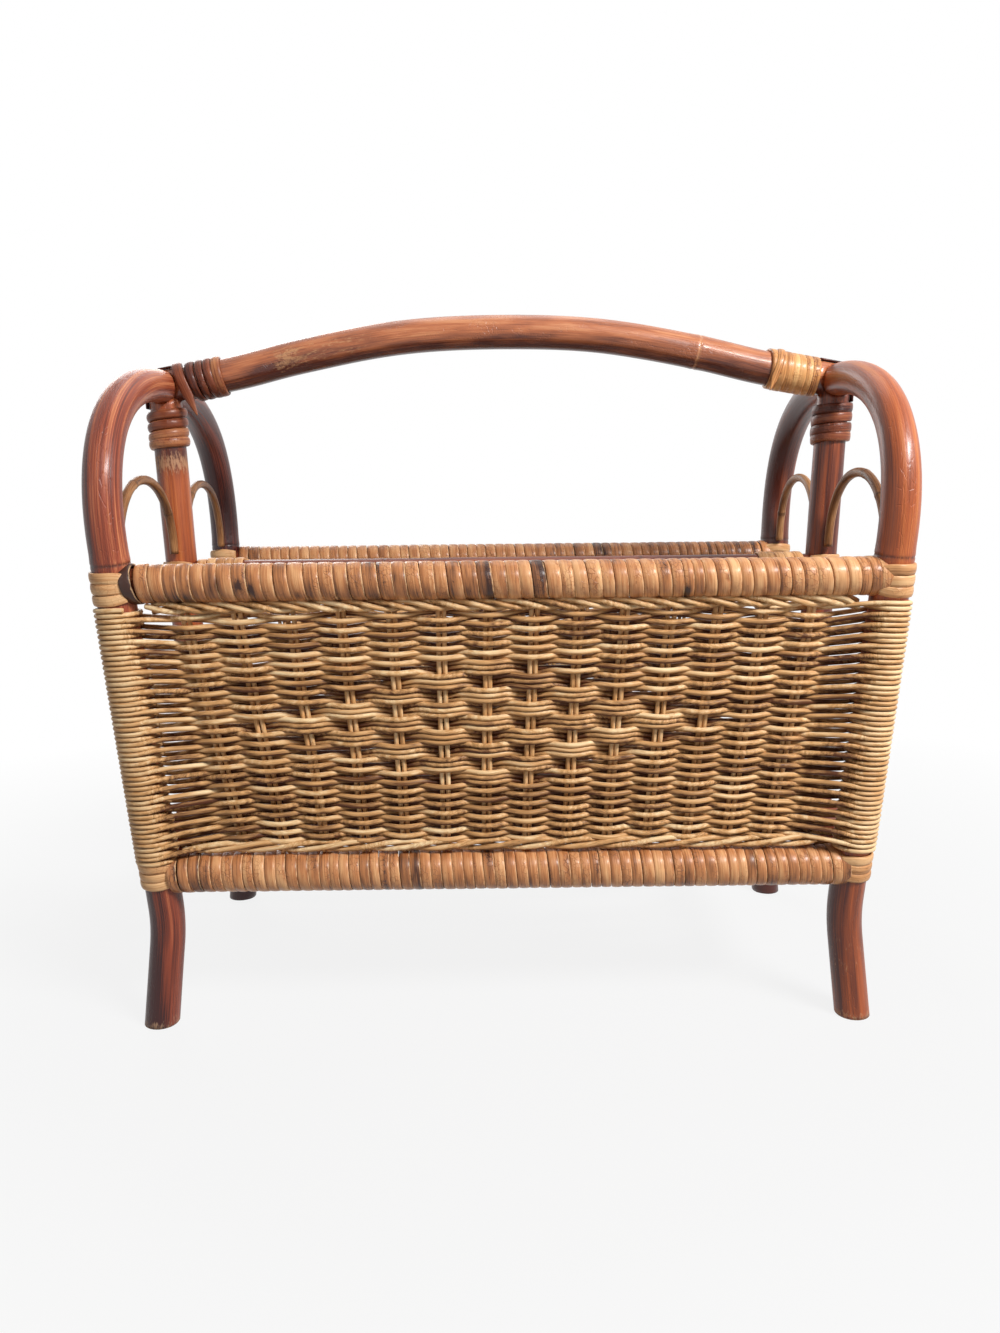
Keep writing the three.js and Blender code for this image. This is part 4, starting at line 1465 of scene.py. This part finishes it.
        start = self.sizes.arch_radius + 1.0
        shape = PieceMesh(f"{name}_peel")
        if side is Side.LEFT:
            Winding(
                axis, self.sizes.handle_radius + self.under_peel, np.array([6.0, 5.2, 5.4, 6.4]), 2.0,
                np.array([0.24, 0.2, 0.34, 0.66]), 241, first_angle=0.1, start=start + 5.4, stray=0.25,
                lift=0.15, slant=(0.8, -1.8), crown=0.25, edge_highlights=(0.0, 0.35),
            ).add_to(shape)
            self._tail(shape, axis, (start - 1.5, start + 9.0), 23.0, 6.6, 0.5)
            shape.make(DARK_PEEL, name)
        else:
            Winding(
                axis, self.sizes.handle_radius + self.under_peel,
                np.array([5.4, 4.0, 5.2, 4.2, 5.2, 4.6, 5.4]), 1.9,
                np.array([0.42, 0.6, 0.5, 0.7, 0.55, 0.62, 0.5]), 243, first_angle=0.1,
                start=start - 1.0, stray=0.7, lift=0.2, seam=-0.5, slant=(-1.2, 1.8), crown=0.1,
                edge_highlights=(0.12, 0.06),
            ).add_to(shape)
            self._tail(shape, axis, (start + 27.0, start + 32.0), 15.0, 4.6, 0.5)
            shape.make(GOLDEN_PEEL, name)

    def _tail(
        self,
        shape: PieceMesh,
        axis: Axis,
        reach: tuple[float, float],
        drop: float,
        width: float,
        tint: float,
    ) -> None:
        """Adds the loose end of a handle winding, from over the handle down to its point.

        Args:
            shape: Piece that gets the end.
            axis: Gives the handle's centre and directions.
            reach: Distance along the handle at which it starts and ends.
            drop: How far its point hangs below the handle's middle.
            width: Its width.
            tint: Its tint.
        """
        share = np.linspace(0, 1, 30)
        point, along, first, second = axis(reach[0] + (reach[1] - reach[0]) * share)
        bend = ramp(share / 0.5)
        hang = ramp((share - 0.5) / 0.5)
        upward = second * np.sign(second[:, 2:])
        angle = 2 * np.pi * (0.16 + 0.34 * bend)
        radial = around(first, upward, angle)
        path = point + radial * (self.sizes.handle_radius + 1.6 - 0.6 * hang**2)[:, None]
        path -= upward * (drop * hang)[:, None]
        taper = 1 - 0.85 * ramp((share - 0.72) / 0.28)
        shape.add_band(path, radial, along, peel_profile(width, 1.4, 0.2), tint, None, 77.0, taper)

    def _post_head(self, side: Side) -> None:
        """Makes the winding round the head of a centre post."""
        name = label(side, "post_binding")
        top = self.sizes.centre_post_point(side, self.sizes.arch_top_height)
        down = self.sizes.centre_post_point(side, self.sizes.bottom_rail_height) - top
        tints = np.array([0.4, 0.5, 0.72, 0.76] if side is Side.LEFT else [0.2, 0.44, 0.3, 0.56])
        loose = 0.15 if side is Side.LEFT else 0.85
        thick, crown = (2.7, 0.36) if side is Side.LEFT else (2.3, 0.2)
        shape = PieceMesh(f"{name}_peel")
        Winding(
            straight_axis(top, down, Y_AXIS), self.sizes.centre_post_radius + 0.3,
            np.array([6.6, 6.4, 6.5, 6.9]), thick, tints, 251 + side.value, first_angle=0.0,
            start=self.sizes.arch_radius + 0.9, stray=loose, lift=loose * 0.7, seam=0.2, crown=crown,
            slant=(-0.4 * loose, loose), edge_highlights=(0.3, 0.1),
        ).add_to(shape)
        shape.make(DARK_PEEL, name)


# Straps


@dataclass
class StrapWork:
    """Cane straps that tie rails to posts, and the handle's over-straps."""

    sizes: RackSizes
    strand_width: float = 6.4
    strand_thickness: float = 1.7
    leg: float = 9.5
    tuck: float = 3.2
    closing: float = 0.22
    top_shift: float = -1.3
    bottom_shift: float = 2.7
    bottom_strand_width: float = 5.7

    def build(self) -> None:
        """Makes every strap."""
        for side in Side:
            for face in Face:
                for level in Level:
                    self._corner(side, face, level)
            self._divider(side)
            self._over_arch(side)

    def _strands(
        self,
        name: str,
        side: Side,
        centre: Array,
        up: Array,
        radius: float,
        tints: Array,
        seed: int,
        width: float,
    ) -> None:
        """Makes three strands side by side round the outer side of a post.

        Args:
            name: Name of the CAD node and of the piece.
            side: End of the rack.
            centre: Middle of the strap on the post's centreline.
            up: Direction up the post.
            radius: Radius of the post.
            tints: Tint of each strand.
            seed: Seed for its unevenness.
            width: Width of each strand.
        """
        rng = np.random.default_rng(seed)
        up = unit(up)
        outer = side.value * X_AXIS
        outer = unit(outer - (outer @ up) * up)
        across = np.cross(up, outer)
        bend = np.linspace(-np.pi / 2, np.pi / 2, 25)
        arc = around(outer, across, bend)
        run = np.linspace(1, 0.12, 7)[:, None]
        reach = radius + 0.3
        legs = [
            out * reach - outer * self.leg * run - out * self.tuck * run**1.5 for out in (-across, across)
        ]
        path = np.concatenate([legs[0], arc * reach, legs[1][::-1]])
        normals = np.concatenate([0 * run - across, arc, 0 * run + across])
        spread = 1 - self.closing * run**2
        spread = np.concatenate([spread, np.ones((len(bend), 1)), spread[::-1]])
        shape = PieceMesh(f"{name}_strands")
        for row in range(3):
            points = centre + path + (row - 1) * width * spread * up
            place = lengths(points)
            points += (0.18 * wander(rng, place, 14))[:, None] * up
            widths = 1 + 0.04 * wander(rng, place, 12)
            rows = np.ones((len(points), 1))
            shape.add_band(
                points, normals, rows * up, peel_profile(width - 0.2, self.strand_thickness, 0.24),
                tints[row], None, rng.uniform(0, GRAIN_REACH), widths, 0.12 * wander(rng, place, 10),
            )
        shape.make(LIGHT_CANE, name)

    def _corner(self, side: Side, face: Face, level: Level) -> None:
        """Makes the strap where a long rail meets a post."""
        name = label(side, face, level, "strap")
        z = self.sizes.rail_height(level)
        top = level is Level.TOP
        centre = self.sizes.post_point(side, face, z + (self.top_shift if top else self.bottom_shift))
        up = self.sizes.post_point(side, face, z + 1) - self.sizes.post_point(side, face, z)
        width = self.strand_width if top else self.bottom_strand_width
        seed = 300 + 40 * (side.value + 1) + 10 * (face.value + 1) + (5 if top else 0)
        tints = np.random.default_rng(seed).uniform(0.5, 0.85, 3)
        self._strands(name, side, centre, up, self.sizes.arch_radius, tints, seed, width)

    def _divider(self, side: Side) -> None:
        """Makes the strap that ties the divider rail to a centre post."""
        name = label(side, "divider_strap")
        centre = self.sizes.centre_post_point(side, self.sizes.divider_height)
        up = self.sizes.centre_post_point(side, self.sizes.divider_height + 1) - centre
        tints = np.array([0.55, 0.4, 0.6])
        seed = 390 + side.value
        self._strands(name, side, centre, up, self.sizes.centre_post_radius, tints, seed, self.strand_width)

    def _over_arch(self, side: Side) -> None:
        """Makes the dark strap from a post head over the arch onto the handle."""
        name = label(side, "handle_strap")
        s = side.value
        centre = self.sizes.arch_top(side)
        down = unit(self.sizes.centre_post_point(side, self.sizes.bottom_rail_height) - centre)
        handle = self.sizes.handle_path()
        inward = unit(handle[3] - handle[0]) if side is Side.LEFT else unit(handle[-4] - handle[-1])
        outward_low = np.array([s * abs(down[2]), 0, abs(down[0]) * -1.0])
        outward_low = unit(outward_low - (outward_low @ down) * down)
        outward_high = unit(Z_AXIS - inward[2] * inward)
        reach = self.sizes.handle_radius + 0.35
        start = math.atan2(outward_low[2], outward_low[0] * s)
        end = math.atan2(outward_high[2], outward_high[0] * s)
        bend = np.linspace(start, end, 26)
        arc = columns(s * np.cos(bend), np.zeros_like(bend), np.sin(bend))
        low_leg = np.linspace(1, 0.08, 6)[:, None] * (self.sizes.arch_radius + 2.8)
        high_leg = np.linspace(0.08, 1, 6)[:, None] * (self.sizes.arch_radius + 2.6)
        path = np.concatenate([
            outward_low * reach + down * low_leg,
            arc * reach,
            outward_high * reach + inward * high_leg,
        ])
        normals = np.concatenate([0 * low_leg + outward_low, arc, 0 * high_leg + outward_high])
        across = np.broadcast_to(Y_AXIS, path.shape)
        shape = PieceMesh(f"{name}_strand")
        shape.add_band(centre + path, normals, across, peel_profile(8.6, 1.3), 0.08, None, 31.0)
        shape.make(DARK_PEEL, name)


# Weave


def painted_underside_shade(count: int, sides: int, depth: float) -> Array:
    """Marks of a reed whose underside is darker, painted shade.

    Args:
        count: Number of points along the reed.
        sides: Number of its sides, the first one on top.
        depth: How much darker its underside is.

    Returns:
        Marks for each point and side.
    """
    marks = np.zeros((count, sides, 3))
    angle = 2 * np.pi * np.arange(sides) / sides
    marks[..., 1] = -depth * ramp(0.15 - np.cos(angle))
    return marks


# Stake pairs that stand aside at the top: column, reach and distance.
COLUMN_DRIFTS = ((6.4, 3.0, 5.5), (1.0, 1.3, -5.0), (13.5, 1.0, -1.6))

# Where the weaver comes from and goes to, from its first and its last point.
WEAVER_LEAD = (-17.0, 6.0, 4.0)
WEAVER_TAIL = (-24.0, -4.0, -2.0)


@dataclass
class WovenFace:
    """One woven panel: its weaver, its stakes and its twisted borders.

    The weaver is one unbroken reed. It goes over and under pairs of stakes,
    winds twice round a post at the end of each row and comes back. In the
    middle, rows run three together, which draws the diamond.

    Attributes:
        row_radius: Radius of the reed in a row, where it springs out.
        sag: How much lower a row lies where it passes outside a stake pair.
        inner_sag: How much lower it lies where it passes inside one.
        spring: How far, at most, the two reeds between a post and the first
            stake pair spring apart.
        spring_growth: How much more for each millimetre further down.
        spring_height: Height below which they spring apart.
        together: How far rows spread where three run together.
        diamond_top: First row of the diamond.
        diamond_groups: Number of triple rows in it.
        diamond_column: Its middle stake pair.
        border_inset: How far a border ends from the middle of a post.
        border_radius: Radius of a border's strands.
        border_lay: For each border its height, the length of one twist, its
            rise and how far out it lies, and the way it leans.
    """

    sizes: RackSizes
    face: Face
    rows: int = 50
    columns: int = 14
    reed_radius: float = 1.48
    row_radius: float = 1.64
    swing: float = 3.1
    sag: float = 1.2
    inner_sag: float = 2.5
    spring: float = 2.6
    spring_growth: float = 0.0264
    spring_height: float = 314 - 0.8 / 0.0264
    flat: float = 1.2
    top_row: float = 254.4
    bottom_row: float = 117.6
    top_turn: float = 259.0
    right_turn_rise: float = 2.4
    bottom_turn: float = 108.8
    stake_radius: float = 1.45
    stake_apart: float = 1.6
    inset_top: float = 40.0
    inset_bottom: float = 55.0
    together: float = 0.3
    diamond_top: int = 11
    diamond_groups: int = 9
    diamond_column: int = 7
    border_inset: float = 21.5
    border_radius: float = 1.65
    border_lay: dict[Level, tuple[float, float, float, float, int]] = field(default_factory=lambda: {
        Level.TOP: (259.6, 45.0, 2.3, 2.9, -1),
        Level.BOTTOM: (113.4, 80.0, 2.4, 2.2, 1),
    })

    def build(self) -> None:
        """Makes the panel's pieces."""
        panel = label(self.face, "woven_panel")
        shape = PieceMesh(label(self.face, "weaver"))
        path, radius, tint = self._weaver()
        # Painted shade under each reed, on the rows that pass inside the stakes and on the reeds between a
        # post and the first stake pair. Painted light on the top rows, where the rail's shadow falls, and
        # on the turns round the posts, whose tint is also drawn towards one value.
        marks = painted_underside_shade(len(path), 8, 0.44)
        beyond = np.abs(path[:, 0]) - self.sizes.post_x(path[:, 2])
        hollow = ramp(-path[:, 1] / self.swing) * ramp(-(beyond + 24) / 10)
        painted_top_light = ramp((path[:, 2] - 226) / 30)
        beside = ramp((beyond + 11) / 6)
        tint += 0.7 * beside * (0.64 - tint)
        tone = 0.12 * (beside + painted_top_light) - 0.45 * hollow - 0.17 * bump(beyond, -21, 8)
        marks[..., 1] += tone[:, None]
        shape.add_tube(self._world(path), radius, Z_AXIS, 8, tint, marks, offset=10.0)
        shape.make(REED, panel)
        stakes = PieceMesh(label(self.face, "stakes"))
        self._stakes(stakes)
        stakes.make(REED, panel)
        for level in Level:
            self._border(level)

    @property
    def turn_radius(self) -> float:
        """Radius at which the reed lies round a post."""
        return self.sizes.arch_radius + self.reed_radius + 0.05

    def row_height(self, row: int) -> float:
        """Height of a row in the panel."""
        return self.top_row + (self.bottom_row - self.top_row) * (row - 1) / (self.rows - 1)

    def turn_height(self, row: float, side: int) -> float:
        """Height at which a row arrives at the left post, -1, or the right one, 1."""
        top = self.top_turn + (self.right_turn_rise if side > 0 else 0.0)
        return top + (self.bottom_turn - top) * row / self.rows

    def stake_x(self, column: float, height: float | Array) -> float | Array:
        """Place of a stake pair along X at a height."""
        inset = self.inset_bottom + (self.inset_top - self.inset_bottom) * self.sizes.share(height)
        half = self.sizes.post_x(height) - inset
        drift = bumps(column, COLUMN_DRIFTS) * self.sizes.share(height)
        return -half + 2 * half * (column - 1) / (self.columns - 1) + drift

    def _diamond_place(self, row: int, column: int) -> int | None:
        """Place of a row among three that run together, None outside the diamond."""
        group, place = divmod(row - self.diamond_top, 3)
        reach = 1 + min(group, self.diamond_groups - 1 - group)
        inside = 0 <= group < self.diamond_groups and abs(column - self.diamond_column) <= reach
        return place if inside else None

    def state(self, row: int, column: int) -> int:
        """1 where a row passes outside a stake pair, -1 where it passes inside."""
        sign = 1 if (row + column) % 2 == 0 else -1
        return -sign if self._diamond_place(row, column) == 1 else sign

    def crowding(self, row: int, column: int) -> float:
        """How far a row is pushed up where three rows run together."""
        place = self._diamond_place(row, column)
        return 0.0 if place is None else (1 - place) * self.together

    def _row(self, row: int, rng: np.random.Generator) -> Array:
        """Points of one row from the first to the last stake pair.

        Args:
            row: Number of the row, from 1 at the top.
            rng: Seeded source of numbers.

        Returns:
            Points as place along X, offset outwards, and height.
        """
        height = self.row_height(row)
        spots, offsets, pushes = [], [], []
        for column in range(1, self.columns + 1):
            x = self.stake_x(column, height)
            swing = self.swing * self.state(row, column) * rng.uniform(0.9, 1.06)
            push = self.crowding(row, column)
            if spots:
                before, past = spots[-1], offsets[-1]
                share = np.linspace(0, 1, 8)[1:-1]
                ease = (1 - np.cos(np.pi * share)) / 2
                spots += list(before + (x - self.flat - before) * share)
                dip = 0.35 * np.sin(np.pi * share) * np.sign(past) * (np.sign(past) == np.sign(swing))
                offsets += list(past + (swing - past) * ease - dip)
                pushes += list(pushes[-1] + (push - pushes[-1]) * share)
            spots += [x - self.flat, x, x + self.flat]
            offsets += [swing * 0.97, swing, swing * 0.97]
            pushes += [push] * 3
        spots, offsets, pushes = np.array(spots), np.array(offsets), np.array(pushes)
        inner_sag = self.inner_sag if row > 2 else -0.6
        sag = np.where(offsets > 0, self.sag, -inner_sag) * offsets / self.swing
        level = height + pushes - sag + 0.22 * wander(rng, spots, 40)
        return columns(spots, offsets, level)

    def _turn(self, side: int, arrive: float, start: Array, end: Array) -> Array:
        """Points of the double turn round a post.

        Args:
            side: -1 for the left post, 1 for the right one.
            arrive: Height at which the reed arrives.
            start: Last point of the row that arrives.
            end: First point of the row that leaves.

        Returns:
            Points of the approach, the turns and the way back.
        """
        pitch = (self.top_turn - self.bottom_turn) / self.rows
        centre = self.sizes.post_x(arrive)
        angles = []
        for point in (start, end):
            away = np.array([side * point[0] - centre, point[1]])
            distance = np.hypot(*away)
            swing = math.acos(self.turn_radius / distance)
            heading = math.atan2(abs(away[1]), away[0])
            angles.append(heading - swing)
        first, last = angles[0], -angles[1] - 2 * np.pi
        angle = np.linspace(first, last, 38)
        drop = (first - angle) / (2 * np.pi) * pitch
        level = arrive - drop
        middle = self.sizes.post_x(level)
        x = side * (middle + self.turn_radius * np.cos(angle))
        turn = columns(x, self.turn_radius * np.sin(angle), level)
        share = np.linspace(0, 1, 14)[1:-1]
        ease = 0.5 * share + 0.5 * share * share * (3 - 2 * share)
        apart = 0.5 * np.clip(self.spring_growth * (self.spring_height - arrive), 0, self.spring)

        def way(a: Array, b: Array, outwards: Array, rise: float) -> Array:
            """Straight run with its height eased, sprung up or down near the post."""
            run = a + (b - a) * share[:, None]
            run[:, 2] = a[2] + (b[2] - a[2]) * ease + rise * np.sin(np.pi * outwards**1.9)
            return run

        return np.concatenate([
            way(start, turn[0], share, apart),
            turn,
            way(turn[-1], end, 1 - share, -apart),
        ])

    def _weaver(self) -> tuple[Array, Array, Array]:
        """The whole weaver as one line.

        Returns:
            Its points, as place along X, offset outwards and height, and the
            radius and the tint at each.
        """
        rng = np.random.default_rng(400 + self.face.value)
        rows = []
        for row in range(1, self.rows + 1):
            points = self._row(row, rng)
            rows.append(points if row % 2 else points[::-1])
        lead, tail = rows[0][0] + WEAVER_LEAD, rows[-1][-1] + WEAVER_TAIL
        pieces = [self._turn(-1, self.turn_height(0, -1), lead, rows[0][0])[8:]]
        for row, points in enumerate(rows, start=1):
            pieces.append(points)
            side = 1 if row % 2 else -1
            following = rows[row][0] if row < self.rows else tail
            turn = self._turn(side, self.turn_height(row, side), points[-1], following)
            pieces.append(turn if row < self.rows else turn[:-9])
        path = np.concatenate(pieces)
        path = soften(path)
        place = lengths(path)
        inside = ramp((self.sizes.post_x(path[:, 2]) - 24 - np.abs(path[:, 0])) / 14)
        swell = (self.row_radius - self.reed_radius) * inside
        radius = self.reed_radius + swell + 0.06 * wander(rng, place, 90)
        tint = 0.54 + 0.24 * wander(rng, place, 210) + 0.22 * wander(rng, place, 44)
        return path, radius, ramp(tint)

    def _world(self, points: Array) -> Array:
        """Panel points as places in the rack's frame."""
        y = self.face.value * (self.sizes.post_y(points[:, 2]) + points[:, 1])
        return columns(points[:, 0], y, points[:, 2])

    def _stakes(self, shape: PieceMesh) -> None:
        """Adds the pairs of upright stakes.

        Args:
            shape: Piece that gets them.
        """
        rng = np.random.default_rng(420 + self.face.value)
        levels = np.linspace(self.bottom_row - 9, self.top_row + 7, 22)
        for column in range(1, self.columns + 1):
            for apart in (-self.stake_apart, self.stake_apart):
                x = self.stake_x(column, levels) + apart + 0.35 * wander(rng, levels, 50)
                path = columns(x, 0.2 * wander(rng, levels, 40), levels)
                shape.add_tube(
                    self._world(path), self.stake_radius, X_AXIS, 8, rng.uniform(0.5, 0.75),
                    offset=rng.uniform(0, GRAIN_REACH),
                )

    def _border(self, level: Level) -> None:
        """Makes the twisted border between the panel and a rail.

        Args:
            level: Rail that it lies against.
        """
        name = label(self.face, level, "border")
        rng = np.random.default_rng(440 + self.face.value + (3 if level is Level.TOP else 0))
        height, period, rise, out, slant = self.border_lay[level]
        half = self.sizes.post_x(height) - self.border_inset
        x = np.linspace(-half - 4.5, half + 5, 428)
        dive = ramp((x - half + 8) / 13) ** 2
        shape = PieceMesh(f"{name}_twist")
        for strand in range(3):
            phase = 2 * np.pi * ((x + 1.2 * wander(rng, x, 40)) / period + strand / 3)
            z = height + slant * (rise * np.sin(phase) + 4 * dive) + 0.25 * wander(rng, x, 50)
            forward = out + (1.9 + 0.2 * wander(rng, x, 30)) * np.cos(phase) - 4 * dive
            path = columns(x, forward, z)
            trimmed = path[int(rng.integers(0, 6)): len(path) - int(rng.integers(0, 12))]
            place = lengths(trimmed)
            tint = 0.7 + 0.3 * wander(rng, place, 26)
            radius = self.border_radius + 0.08 * wander(rng, place, 40)
            # Painted shade on the underside of each strand.
            marks = painted_underside_shade(len(trimmed), 8, 0.3)
            shape.add_tube(
                self._world(trimmed), radius, Z_AXIS, 8, tint, marks, offset=rng.uniform(0, GRAIN_REACH),
            )
        shape.make(REED, name)


@dataclass
class LoopWork:
    """The inverted loops of thin cane at the open ends."""

    sizes: RackSizes

    def build(self) -> None:
        """Makes the four loops."""
        for side in Side:
            for face in Face:
                name = label(side, face, "cane_loop")
                rng = np.random.default_rng(500 + 3 * side.value + face.value)
                path = self.sizes.loop_path(side, face)
                rings = tuple(float(v) for v in rng.uniform(20, lengths(path)[-1] - 20, 2))
                stations = evenly(path, 2.5, rings)
                points = resample(path, stations)
                radius = self.sizes.loop_radius + 0.08 * wander(rng, stations, 25)
                ring = np.zeros(len(points))
                for place in rings:
                    radius += 0.22 * bump(stations, place, 1.6)
                    ring = np.maximum(ring, bump(stations, place, 0.8))
                marks = columns(ring, 0 * ring, 0 * ring)
                shape = PieceMesh(f"{name}_cane")
                shape.add_tube(
                    points, radius, X_AXIS, 14, rng.uniform(0.35, 0.65), marks,
                    offset=rng.uniform(0, GRAIN_REACH),
                )
                shape.make(LOOP_CANE, name)


# Studio


@dataclass
class Studio:
    """Floor, lights, world and camera.

    Attributes:
        camera_place: The camera's place, in metres.
        pitch: How far it looks down, in radians.
        yaw: How far it looks to the right.
        roll: How far it is tilted.
        lens: Its focal length on a 36 mm sensor.
        floor_reach: Half width of the floor, in metres.
        floor_white: How white the floor is seen close to the rack.
        floor_fade: Distances between which it turns fully white.
    """

    camera_place: Point = (-0.00465, -0.681, 0.3143)
    pitch: float = 0.160
    yaw: float = 0.004
    roll: float = -0.011
    lens: float = 27.007
    floor_reach: float = 6.0
    floor_white: float = 0.86
    floor_fade: tuple[float, float] = (0.3, 0.85)

    def build(self) -> None:
        """Makes the whole studio."""
        self._camera()
        self._floor()
        self._lamp("key_light", (0.95, -0.95, 1.3), (0.0, -0.05, 0.24), (0.75, 0.22), 34.5)
        self._lamp("fill_light", (-1.3, -1.3, 0.7), (0.0, 0.0, 0.2), (1.2, 1.2), 1.6)
        self._lamp("top_light", (0.0, 0.5, 1.6), (0.0, 0.0, 0.2), (0.9, 0.9), 2.6)
        self._lamp("back_light", (-0.75, 1.35, 0.95), (0.0, 0.0, 0.2), (1.0, 1.0), 9.0)
        self._world()
        settings = bpy.context.scene.view_settings
        settings.view_transform = "Standard"

    def _camera(self) -> None:
        """Makes the camera at the photograph's viewing angle."""
        data = bpy.data.cameras.new("camera")
        data.lens = self.lens
        data.sensor_width = 36.0
        data.clip_start = 0.01
        camera = bpy.data.objects.new("camera", data)
        bpy.context.scene.collection.objects.link(camera)
        flat = math.cos(self.pitch)
        forward = Vector((math.sin(self.yaw) * flat, math.cos(self.yaw) * flat, -math.sin(self.pitch)))
        level = Vector((math.cos(self.yaw), -math.sin(self.yaw), 0.0))
        upward = level.cross(forward)
        right = math.cos(self.roll) * level + math.sin(self.roll) * upward
        up = -math.sin(self.roll) * level + math.cos(self.roll) * upward
        turn = Matrix((right, up, -forward)).transposed().to_4x4()
        camera.matrix_world = Matrix.Translation(self.camera_place) @ turn
        bpy.context.scene.camera = camera

    def _floor(self) -> None:
        """Makes the plain white floor, which keeps the rack's shadow."""
        reach = self.floor_reach
        mesh = bpy.data.meshes.new("floor")
        corners = [(x * reach, y * reach, 0) for x, y in ((-1, -1), (1, -1), (1, 1), (-1, 1))]
        mesh.from_pydata(corners, [], [(0, 1, 2, 3)])
        material = bpy.data.materials.new("white_floor")
        material.use_nodes = True
        desk = NodeDesk(material.node_tree)
        matt = desk.add("BsdfDiffuse", Color=(0.45, 0.45, 0.45, 1.0))
        bright = desk.add("Emission", Color=(1.0, 1.0, 1.0, 1.0), Strength=1.0)
        place = desk.add("NewGeometry").outputs["Position"]
        place = desk.joined("VectorMath", place, (1.0, 1.0, 0.0), operation="MULTIPLY")
        apart = desk.add("VectorMath", operation="LENGTH")
        desk.feed(apart.inputs[0], place)
        far = desk.spread(apart.outputs["Value"], *self.floor_fade)
        share = desk.math("ADD", desk.math("MULTIPLY", far, 1 - self.floor_white), self.floor_white)
        share = desk.math("MULTIPLY", self._seen(desk), share)
        mixed = desk.joined("MixShader", share, matt.outputs[0], bright.outputs[0])
        desk.add("OutputMaterial", Surface=mixed)
        mesh.materials.append(material)
        floor = bpy.data.objects.new("floor", mesh)
        floor.location.z = -0.0002
        bpy.context.scene.collection.objects.link(floor)

    @staticmethod
    def _seen(desk: NodeDesk) -> bpy.types.NodeSocket:
        """One for rays that the camera sees straight, reflected or through glass."""
        rays = desk.add("LightPath").outputs
        seen = desk.math("ADD", rays["Is Camera Ray"], rays["Is Glossy Ray"], clamp=True)
        return desk.math("ADD", seen, rays["Is Transmission Ray"], clamp=True)

    def _lamp(self, name: str, place: Point, aim: Point, size: tuple[float, float], power: float) -> None:
        """Makes one soft lamp.

        Args:
            name: Its name.
            place: Where it stands, in metres.
            aim: Where it points.
            size: Its width and height.
            power: Its power in watts.
        """
        data = bpy.data.lights.new(name, "AREA")
        data.shape = "ELLIPSE"
        data.size = size[0]
        data.size_y = size[1]
        data.energy = power
        lamp = bpy.data.objects.new(name, data)
        lamp.location = place
        lamp.rotation_euler = (Vector(aim) - Vector(place)).to_track_quat("-Z", "Y").to_euler()
        bpy.context.scene.collection.objects.link(lamp)

    def _world(self) -> None:
        """Makes a white backdrop that lights the rack only softly."""
        world = bpy.data.worlds.new("world")
        world.use_nodes = True
        bpy.context.scene.world = world
        desk = NodeDesk(world.node_tree)
        soft = desk.add("Background", Color=(1.0, 1.0, 1.0, 1.0), Strength=0.1)
        white = desk.add("Background", Color=(1.0, 1.0, 1.0, 1.0), Strength=1.0)
        mixed = desk.joined("MixShader", self._seen(desk), soft.outputs[0], white.outputs[0])
        desk.add("OutputWorld", Surface=mixed)


# Main


def main() -> None:
    """Builds the rack's pieces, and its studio."""
    logging.basicConfig(level=logging.INFO, format="%(name)s: %(message)s")
    sizes = RackSizes()
    Studio().build()
    PoleWork(sizes).build()
    PeelWork(sizes).build()
    StrapWork(sizes).build()
    for face in Face:
        WovenFace(sizes, face).build()
    LoopWork(sizes).build()


if __name__ == "__main__":
    main()
